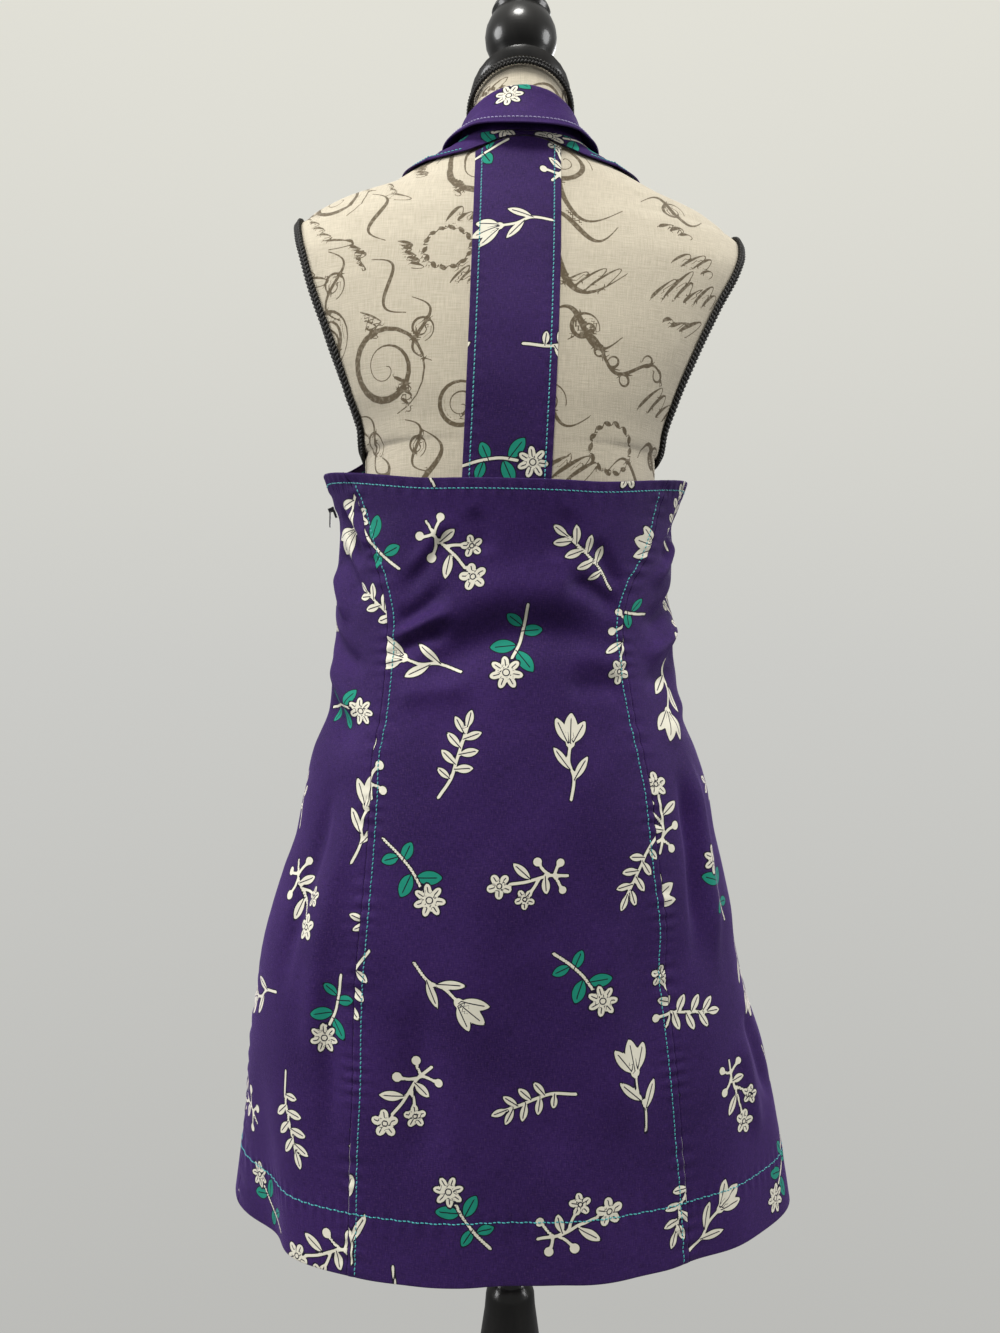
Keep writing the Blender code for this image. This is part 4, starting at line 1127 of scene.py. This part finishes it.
def back_panel(finish, name, low_column, high_column, spacing, seed):
    """One of the three back panels, with its hem, seam edges and top edge turned in."""
    low_seam, high_seam = seam(low_column), seam(high_column)
    z_mid = (HEM + BACK_EDGE) / 2
    radius = float(dress_radius(float(low_seam(z_mid) + high_seam(z_mid)) / 2, z_mid))
    span = abs(float(high_seam(z_mid) - low_seam(z_mid)))
    width = math.radians(span) * radius
    off_across, deep_across = edge_columns(width, spacing, EDGE_TURN, EDGE_TURN)
    height = BACK_EDGE - HEM
    off_up, deep_up = edge_columns(height, spacing, HEM_TURN, TOP_STITCH)
    across, up = np.meshgrid(off_across / width, off_up / height)
    deep = np.maximum(*np.meshgrid(deep_across, deep_up))
    z = HEM + up * height
    for _ in range(3):
        low = low_seam(z) + half_gap(low_seam(z), z)
        high = high_seam(z) - half_gap(high_seam(z), z)
        angle = low * (1 - across) + high * across
        z = HEM + up * (back_edge(angle) - HEM)
    points = cloth_point(angle, z, deep * SHELL)
    flat = metric(points, points.shape[1] // 2).reshape(-1, 2)
    obj = mesh_object(name, points.reshape(-1, 3), grid_faces(*points.shape[:2], flip=True), finish)
    add_flat_map(obj, flat)
    fields = print_sprigs(flat, seed)
    fields.hide(deep.ravel() > TURNED_IN)
    fields.write(obj)
    place_piece(obj, "dress_cloth", name.replace("cloth_", ""))


def sheet_area(points):
    a, b = points[1:, 1:] - points[:-1, :-1], points[1:, :-1] - points[:-1, 1:]
    return float(np.linalg.norm(np.cross(a, b), axis=2).sum() / 2)


def front_grid(side, spacing):
    """Half of the front: angles, heights, depths and lifts, from the hem up and round the neck."""
    column = LEFT_SIDE if side > 0 else RIGHT_SIDE
    off_across, deep_across = edge_columns(FRONT_HALF, spacing, 0, EDGE_TURN)
    share = off_across / FRONT_HALF
    underarm = BACK_EDGE + SIDE_RISE
    height = underarm - HEM
    off_up, deep_up = edge_columns(height, spacing, HEM_TURN, 0)
    z = (HEM + off_up)[:, None] + 0 * share
    seam_angle = np.abs(seam(column)(z))
    skirt = 180 + (seam_angle + half_gap(seam_angle, z) - 180) * share, z
    at = steps_between(0, len(BIB) - 1, spacing / BIB_STEP)[1:]
    neck_angle, neck_z, arm_angle, arm_z = columns_at(numbered(BIB), at[:, None])
    bib = neck_angle + (arm_angle - neck_angle) * share, neck_z + (arm_z - neck_z) * share
    angle, z = (np.concatenate(pair) for pair in zip(skirt, bib))
    deep_up = np.concatenate([deep_up, np.zeros(len(at))])
    deep = np.maximum(*np.meshgrid(deep_across, deep_up))
    return side * angle, z, deep


def make_front(finish, spacing, seed):
    """The whole front: two halves that share the centre line up to the neck opening."""
    points, faces, flats, turned_in, start, area = [], [], [], [], 0, 0.0
    for side in (1, -1):
        angle, z, deep = front_grid(side, spacing)
        base = BIB_LIFT * smooth_step(*DRESS_MEETS_FORM, z)
        half = cloth_point(angle, z, deep * SHELL, base)
        flat = metric(half, 0) * (side, 1)
        faces += grid_faces(*half.shape[:2], start=start, flip=side < 0)
        points.append(half.reshape(-1, 3))
        flats.append(flat.reshape(-1, 2))
        turned_in.append(deep.ravel() > TURNED_IN)
        start += half.shape[0] * half.shape[1]
        area += sheet_area(half)
    flat = np.concatenate(flats)
    obj = mesh_object("cloth_front", np.concatenate(points), faces, finish)
    add_flat_map(obj, flat)
    fields = print_sprigs(flat, seed)
    fields.hide(np.concatenate(turned_in))
    fields.write(obj)
    weld(obj)
    place_piece(obj, "dress_cloth", "front")


def rounded(count, length, edge):
    """Places from 0 to length that crowd at both ends, where a doubled cloth's edge is round."""
    ends = np.array([0.0, 0.12, 0.35, 0.7, 1.1]) * edge
    face = np.linspace(1.6 * edge, length - 1.6 * edge, count)
    return np.concatenate([ends, face, length - ends[::-1]])


def doubled(name, middle, half_thickness, across, up, finish):
    """A doubled cloth, sewn and turned out: two faces that meet in round edges."""
    normal = grid_normals(middle)
    taper = [
        np.sqrt(1 - (1 - np.clip(np.minimum(run, run[-1] - run) / half_thickness, 0, 1)) ** 2)
        for run in (across, up)
    ]
    half = (half_thickness * np.minimum(*np.meshgrid(*taper)))[..., None]
    outer, inner = middle + normal * half, middle - normal * half
    rows, columns = middle.shape[:2]
    faces = grid_faces(rows, columns) + grid_faces(rows, columns, rows * columns, flip=True)
    points = np.concatenate([outer.reshape(-1, 3), inner.reshape(-1, 3)])
    obj = mesh_object(name, points, faces, finish)
    flat = metric(middle, columns // 2).reshape(-1, 2)
    under = flat + (np.ptp(flat[:, 0]) + 4, 0)
    flat = np.concatenate([flat, under])
    add_flat_map(obj, flat)
    weld(obj)
    return obj, flat


def grid_normals(points):
    return unit(np.cross(np.gradient(points, axis=1), np.gradient(points, axis=0)))


def strap_angles(across, z):
    """Angles at which the strap's points lie, so that it keeps its width down the back."""
    wanted = across * (STRAP_WIDTH / 2) + curve_at(STRAP_LINE, 1, z)
    angle = 0 * across
    for _ in range(8):
        off = wanted - lifted(body_point, angle, z, CLOTH_LIFT)[..., 0]
        angle += np.degrees(off / section_radius(BODY, np.radians(angle), z))
    return angle


def strap_relief(across, z):
    """The strap's stitched edges: a groove under each row of stitches, and small puckers."""
    in_from_edge = (1 - np.abs(across)) * STRAP_WIDTH / 2
    puckers = ripple(z, 520, 2, 53, np.where(across > 0, 1.5, 0))
    lift = -0.00025 * bump(in_from_edge - STRAP_STITCH, GROOVE_HALF)
    lift += 0.00018 * puckers * bump(in_from_edge - STRAP_STITCH, 0.006)
    return lift + 0.00025 * np.sin(38 * z + 2 * across) * np.sin(90 * z - across)


def strap_height(across, rise):
    """Height of a point of the strap: its top edge follows the neck band."""
    low = BACK_EDGE - STRAP_TUCK
    off_centre = across * (STRAP_WIDTH / 2) + curve_at(STRAP_LINE, 1, STRAP_TOP)
    return low + rise * (STRAP_TOP - STRAP_TOP_CURVE * off_centre**2 - low)


def make_strap(finish, spacing, seed):
    height = STRAP_TOP - BACK_EDGE + STRAP_TUCK
    across = rounded(round(STRAP_WIDTH / spacing / COARSE), STRAP_WIDTH, WALL / 2)
    up = rounded(round(height / spacing / COARSE), height, WALL / 2)
    share, rise = np.meshgrid(2 * across / STRAP_WIDTH - 1, up / height)
    z = strap_height(share, rise)
    angle = strap_angles(share, z)
    middle = lifted(body_point, angle, z, CLOTH_LIFT + strap_relief(share, z))
    obj, flat = doubled("cloth_back_strap", middle, WALL / 2, across, up, finish)
    print_sprigs(flat, seed).write(obj)
    place_piece(obj, "dress_cloth", "back_strap")


def collar_middle(stations, steps):
    """The middle surface of the collar: a smooth section at each place from point to point."""
    rows = np.stack(columns_at(numbered(COLLAR), stations), -1)
    halves = []
    for side in (1, -1):
        angle, z = side * rows[:, 0], rows[:, 1]
        on_form = lifted(body_point, angle, z, BIB_LIFT)
        normal = lifted(body_point, angle, z, 1.0 + BIB_LIFT) - on_form
        opening = side * np.cross(np.gradient(on_form, axis=0), normal)
        base = on_form + unit(opening) * COLLAR_STEP
        halves.append([collar_section(row, side, place, steps) for row, place in zip(rows, base)])
    left, right = halves
    return np.array(right[:0:-1] + left)


def collar_section(row, side, base, steps):
    """Points across the collar at one place: stand, fold and fall."""
    fold_angle, fold_z, fold_lift, edge_angle, edge_z, edge_lift = row[2:]
    middle_angle, middle_z = (fold_angle + edge_angle) / 2, (fold_z + edge_z) / 2
    middle_lift = (fold_lift + FOLD_ROOM + edge_lift) / 2
    fold, edge, fall_top, middle = (lifted(body_point, side * angle, z, lift) for angle, z, lift in (
        (fold_angle, fold_z, fold_lift),
        (edge_angle, edge_z, edge_lift),
        (fold_angle, fold_z, fold_lift + FOLD_ROOM),
        (middle_angle, middle_z, middle_lift),
    ))
    to_base, to_edge = unit(base - fold), unit(edge - fall_top)
    inner = fold + to_base * FOLD_REACH
    outer = fall_top + to_edge * FOLD_REACH
    crown = (fold + fall_top) / 2 - (to_base + to_edge) * FOLD_REACH / 4
    stops = [base, (base + inner) / 2, inner, crown, outer, (outer + middle) / 2, middle]
    stops += [(middle + edge) / 2, edge]
    run = run_along(stops)
    return np.stack(columns_at(np.column_stack([run / run[-1], stops]), steps), -1)


def make_collar(finish, spacing, seed):
    count = round(COLLAR_LENGTH / spacing / COARSE / 2)
    last = len(COLLAR) - 1
    stations = np.concatenate([np.linspace(0, last - 0.06, count), last - np.array([0.03, 0.012, 0])])
    across = rounded(round(COLLAR_WIDTH / spacing / COARSE), COLLAR_WIDTH, WALL / 2)
    middle = collar_middle(stations, across / across[-1])
    obj, flat = doubled("cloth_collar", middle, WALL / 2, across, run_along(middle[:, -1]), finish)
    print_sprigs(flat, seed).write(obj)
    place_piece(obj, "dress_cloth", "collar")
    size = np.ptp(metric(middle, middle.shape[1] // 2).reshape(-1, 2), axis=0) / 1000
    return middle


def stitch_mesh(name, path, normal, finish):
    """A row of stitches along a path: short threads, sunk at their ends."""
    run = run_along(path)
    starts = np.arange(0.001, run[-1] - STITCH_LENGTH, STITCH_PITCH)
    along = np.array([0.0, 0.12, 0.5, 0.88, 1.0])
    swell = np.array([0.25, 0.8, 1.0, 0.8, 0.25])
    height = np.array([-0.7, 0.15, 0.45, 0.15, -0.7]) * THREAD_RADIUS
    at = starts[:, None] + along * STITCH_LENGTH
    centre, up = (interpolated(at, run, part) for part in (path, normal))
    aside = np.cross(unit(centre[:, -1:] - centre[:, :1]), up)
    centre = centre + up * height[:, None] + aside * (STITCH_SLANT * (2 * along - 1))[:, None]
    turn = np.linspace(0, 2 * np.pi, 6, endpoint=False)
    ring = aside[:, :, None] * np.cos(turn)[:, None] + up[:, :, None] * np.sin(turn)[:, None]
    points = centre[:, :, None] + ring * (THREAD_RADIUS * swell)[:, None, None]
    count, rings, sides = points.shape[:3]
    corner = np.arange(count * rings * sides).reshape(count, rings, sides)
    faces = ring_faces(corner) + corner[:, 0, ::-1].tolist() + corner[:, -1].tolist()
    return mesh_object(name, points.reshape(-1, 3), faces, finish)


def cloth_line(angle, z, base=0.0):
    """A path on the dress's outer face, with the face's normal along it."""
    return cloth_point(angle, z, 0.0, base), way_out(dress_point, angle, z)


def make_stitching(turquoise, lilac, collar_grid):
    """All the topstitching, as meshes that go with the cloth they are sewn on."""
    collar_normal = -grid_normals(collar_grid)
    made = {}
    z = np.linspace(HEM + 0.001, BACK_EDGE, 500)
    for name, column, inwards in (("left", LEFT_PRINCESS, -1), ("right", RIGHT_PRINCESS, 1)):
        angle = seam(column)(z)
        angle = angle + inwards * np.degrees(STITCH_IN / dress_radius(angle, z))
        made["stitching_princess_" + name] = cloth_line(angle, z)
    angle = np.linspace(-180, 180, 900)
    made["stitching_hem"] = cloth_line(angle, np.full_like(angle, HEM + HEM_STITCH))
    angle = np.linspace(-91, 91, 400)
    made["stitching_top_edge"] = cloth_line(angle, back_edge(angle) - TOP_STITCH)
    for name, side in SIDES:
        across = np.full(260, side * (1 - 2 * STRAP_STITCH / STRAP_WIDTH))
        z = strap_height(across, np.linspace(0, 1, 260))
        turn = strap_angles(across, z)
        path = lifted(body_point, turn, z, CLOTH_LIFT + WALL / 2 + strap_relief(across, z))
        made["stitching_strap_" + name] = path, way_out(body_point, turn, z)
    at = np.linspace(1.0, len(BIB) - 4.0, 400)
    neck_angle, neck_z, arm_angle, arm_z = columns_at(numbered(BIB), at)
    turn = arm_angle + (neck_angle - arm_angle) * ARM_STITCH
    z = arm_z + (neck_z - arm_z) * ARM_STITCH
    for name, side in SIDES:
        base = BIB_LIFT * smooth_step(*DRESS_MEETS_FORM, z)
        made["stitching_armhole_" + name] = cloth_line(side * turn, z, base)
    run = np.linalg.norm(np.diff(collar_grid, axis=1), axis=2)[:, ::-1].cumsum(axis=1)
    column = collar_grid.shape[1] - 2 - (run > COLLAR_STITCH).argmax(axis=1)
    rows = np.arange(4, len(collar_grid) - 4)
    path = (collar_grid + collar_normal * WALL / 2)[rows, column[rows]]
    finishes = {name: turquoise for name in made}
    made["stitching_collar"] = path, collar_normal[rows, column[rows]]
    finishes["stitching_collar"] = lilac
    for name, (path, normal) in made.items():
        place_piece(stitch_mesh(name, path, normal, finishes[name]), "dress_cloth")


def tilted(z, angle):
    """Height at an angle of a level of the form. The neck's levels slope more and more, to its top."""
    return z + NECK_RISE * smooth_step(NECK_FOOT, NECK_TOP, z) * np.cos(angle)


def make_form(finish, spacing, seed):
    """The padded torso: a smooth skin with a flat plate at each armhole."""
    hidden = np.linspace(FORM_LOW, FORM_SHOWN_FROM, 20)[:-1]
    shown = steps_between(FORM_SHOWN_FROM, FORM_NECK_FROM, spacing)[:-1]
    z = np.concatenate([hidden, shown, steps_between(FORM_NECK_FROM, NECK_TOP, spacing)])
    back = np.linspace(-100, 100, round(300 / COARSE) + 1)
    front = np.linspace(100, 180, round(26 / COARSE))[1:]
    turn = np.radians(np.concatenate([-front[::-1], back, front]))
    turn = np.arctan2(1.45 * np.sin(turn), np.cos(turn))
    angle, z = np.meshgrid(turn, z)
    z = tilted(z, angle)
    points = body_point(angle, z)
    sway, half = curve_at(BODY, SWAY, z), curve_at(BODY, 1, z)
    points[..., 0] = sway + np.clip(points[..., 0] - sway, -half, half)
    rows, columns = points.shape[:2]
    flat = metric(points, columns // 2).reshape(-1, 2)
    faces = grid_faces(rows, columns, flip=True)
    faces += [list(range(columns - 1)), list(range(rows * columns - 2, (rows - 1) * columns - 1, -1))]
    obj = mesh_object("form_linen", points.reshape(-1, 3), faces, finish)
    add_flat_map(obj, flat)
    print_scrolls(flat, seed).write(obj)
    weld(obj)
    place_piece(obj, "form_linen", "form_body")


def plate_depths(z):
    """How far an armhole plate reaches to the back and to the front."""
    square = curve_at(BODY, 4, z)
    share = (1 - (1 / plate_bulge(z)) ** square) ** (1 / square)
    return curve_at(BODY, 2, z) * share, curve_at(BODY, 3, z) * share


def plate_rim(side, count):
    """The oval edge of an armhole plate, where its braid lies, with the way out from the form."""
    turn = np.linspace(-np.pi / 2, 3 * np.pi / 2, count, endpoint=False)
    z = PLATE_MIDDLE + PLATE_REACH * np.sin(turn)
    back, front = plate_depths(z)
    y = np.where(np.cos(turn) >= 0, back, -front)
    x = curve_at(BODY, SWAY, z) + side * curve_at(BODY, 1, z)
    share = np.where(turn % (2 * np.pi) < np.pi, BRAID_TURN_HIGH, BRAID_TURN_LOW)
    turning = np.abs(np.cos(turn)) + share * np.abs(np.sin(turn))
    out = unit(np.column_stack([side + 0 * turn, circle(turn) * turning[:, None] - (0, PLATE_SLOPE)]))
    return np.stack([x, y, z], -1) + out * BRAID_PRESSED * BRAID_RADIUS, out


def closed(line):
    return np.concatenate([line, line[:1]])


def even_loop(points, out, count):
    """The same closed line at even spacing."""
    points, out = (closed(part) for part in (points, out))
    run = run_along(points)
    at = np.linspace(0, run[-1], count, endpoint=False)
    return interpolated(at, run, points), unit(interpolated(at, run, out))


def loop_direction(line):
    return unit(np.roll(line, -1, 0) - np.roll(line, 1, 0))


def make_braid(name, points, out, radius, finish, node):
    """Three strands plaited flat along a closed line."""
    plaits = round(run_along(closed(points))[-1] / (PLAIT * radius))
    steps = 12 if COARSE == 1 else 8  # to a plait
    centre, out = even_loop(points, out, plaits * steps)
    ahead = loop_direction(centre)
    aside = unit(np.cross(ahead, out))
    up = np.cross(aside, ahead)
    phase = 2 * np.pi * np.arange(len(centre)) / steps
    strand, sides = STRAND * radius, 6
    turn = np.linspace(0, 2 * np.pi, sides, endpoint=False)
    points, faces = [], []
    for k in range(3):
        wave = phase + 2 * np.pi * k / 3
        swing, rise = STRAND_SWING * radius * np.sin(wave), STRAND_RISE * radius * np.sin(2 * wave)
        line = centre + aside * swing[:, None] + up * rise[:, None]
        way = loop_direction(line)
        across = unit(np.cross(way, up))
        over = np.cross(across, way)
        ring = across[:, None] * np.cos(turn)[:, None] + over[:, None] * np.sin(turn)[:, None]
        points.append((line[:, None] + ring * strand).reshape(-1, 3))
        corner = k * len(line) * sides + np.arange(len(line) * sides).reshape(len(line), sides)
        faces += ring_faces(closed(corner))
    place_piece(mesh_object(name, np.concatenate(points), faces, finish), "braid", node)


def make_braids(finish):
    for name, side in SIDES:
        rim, out = plate_rim(side, 400)
        make_braid("braid_armhole_" + name, rim, out, BRAID_RADIUS, finish, "armhole_braid_" + name)
    turn = np.linspace(0, 2 * np.pi, 200, endpoint=False)
    out = np.stack([np.sin(turn), np.cos(turn), 0 * turn], -1)
    radius = NECK_RADIUS + NECK_BRAID_RADIUS + GAP
    height = NECK_TOP + NECK_RISE * np.cos(turn) - NECK_BRAID_DROP
    ring = np.column_stack([radius * out[:, :2], height])
    make_braid("braid_neck", ring, out, NECK_BRAID_RADIUS, finish, "neck_braid")


def dress_cad_node(name, finish, smooth_angle):
    """A hard part as the solids have it, with its faces smoothed and its own material."""
    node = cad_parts[name]
    node.data.materials.clear()
    node.data.materials.append(finish)
    weld(node)
    node.data.polygons.foreach_set("use_smooth", [True] * len(node.data.polygons))
    split = node.modifiers.new("Edges", "EDGE_SPLIT")
    split.split_angle = math.radians(smooth_angle)
    split.use_edge_sharp = False


def world_light():
    """A plain studio: the backdrop that shows, with painted shading from darker below to lighter above, and
    a softer light that falls from above.
    """
    world = bpy.data.worlds.new("studio")
    bpy.context.scene.world = world
    sky = Nodes(world)
    rise = sky.ramp(sky.split(sky.place("Generated"))[2], -SKY_BLEND, SKY_BLEND)
    # shown: the backdrop's painted shading, darker below and lighter above; falling: the light the scene is
    # lit by
    shown, falling = (sky_colour(sky, rise, colours) for colours in (BACKDROP, LIGHT_FROM_ABOVE))
    seen = sky.node("LightPath").outputs["Is Camera Ray"]
    sky.give(sky.tree.nodes["Background"].inputs[0], sky.mix(seen, falling, shown))


def sky_colour(sky, rise, colours):
    """A blend of three colours from below to above."""
    made = sky.node("ValToRGB", {0: rise})
    stops = made.color_ramp.elements
    stops[0].position, stops[1].position = 0.05, 0.95
    stops.new(0.5)
    for stop, colour in zip(stops, colours):
        stop.color = (*colour, 1.0)
    return made.outputs[0]


def make_lights():
    world_light()
    for name, place, size, power, colour in LIGHTS:
        light = bpy.data.lights.new(name, "AREA")
        light.shape, light.size, light.energy, light.color = "DISK", size, power, colour
        obj = bpy.data.objects.new(name, light)
        obj.location = place
        obj.rotation_mode = "QUATERNION"
        obj.rotation_quaternion = (Vector(LIT_POINT) - Vector(place)).to_track_quat("-Z", "Y")
        bpy.context.scene.collection.objects.link(obj)
    bpy.context.scene.view_settings.view_transform = "Standard"


def make_floor():
    """A pale round floor, small enough to stay below the camera's view."""
    shader = Shader("pale_floor", Roughness=1.0, Specular_IOR_Level=0.1)
    cloud = shader.noise(shader.place(), 3.0, 2.0)
    shader.give(shader.main.inputs["Base Color"], shader.mix(cloud, *FLOOR_COLOURS))
    turn = np.linspace(0, 2 * np.pi, 96, endpoint=False)
    points = np.concatenate([np.column_stack([r * circle(turn), z + 0 * turn]) for r, z in FLOOR])
    corner = np.arange(len(points)).reshape(len(FLOOR), 96)
    faces = ring_faces(corner) + [corner[0].tolist()]
    mesh_object("floor", points, faces, shader.material, smooth=False)


def make_camera():
    data = bpy.data.cameras.new("camera")
    data.sensor_width = SENSOR
    data.lens = SENSOR * FOCAL / IMAGE_HEIGHT
    data.shift_x = -CENTRE_RIGHT / IMAGE_HEIGHT
    data.clip_start = 0.05
    camera = bpy.data.objects.new("camera", data)
    camera.location = CAMERA_PLACE
    turn = math.atan2(CAMERA_PLACE[1], CAMERA_PLACE[0]) + math.pi / 2
    camera.rotation_euler = (math.pi / 2, 0.0, turn)
    camera.rotation_euler.rotate_axis("Z", math.radians(ROLL))
    bpy.context.scene.collection.objects.link(camera)
    bpy.context.scene.camera = camera


def build():
    make_camera()
    make_lights()
    make_floor()
    cloth = cotton()
    make_form(linen(), *FORM_MESH)
    for row in BACK_PANELS:
        back_panel(cloth, *row)
    make_front(cloth, *FRONT_MESH)
    make_strap(cloth, *STRAP_MESH)
    collar = make_collar(cloth, *COLLAR_MESH)
    make_stitching(thread("turquoise_thread", TURQUOISE), thread("lilac_thread", LILAC), collar)
    make_braids(braid_cord())
    wood, metal = black_wood(), enamel()
    for name in ("neck_cap", "stand_column", "stand_base"):
        dress_cad_node(name, wood, 35)
    for name in ("zip_slider", "zip_pull"):
        dress_cad_node(name, metal, 30)


build()
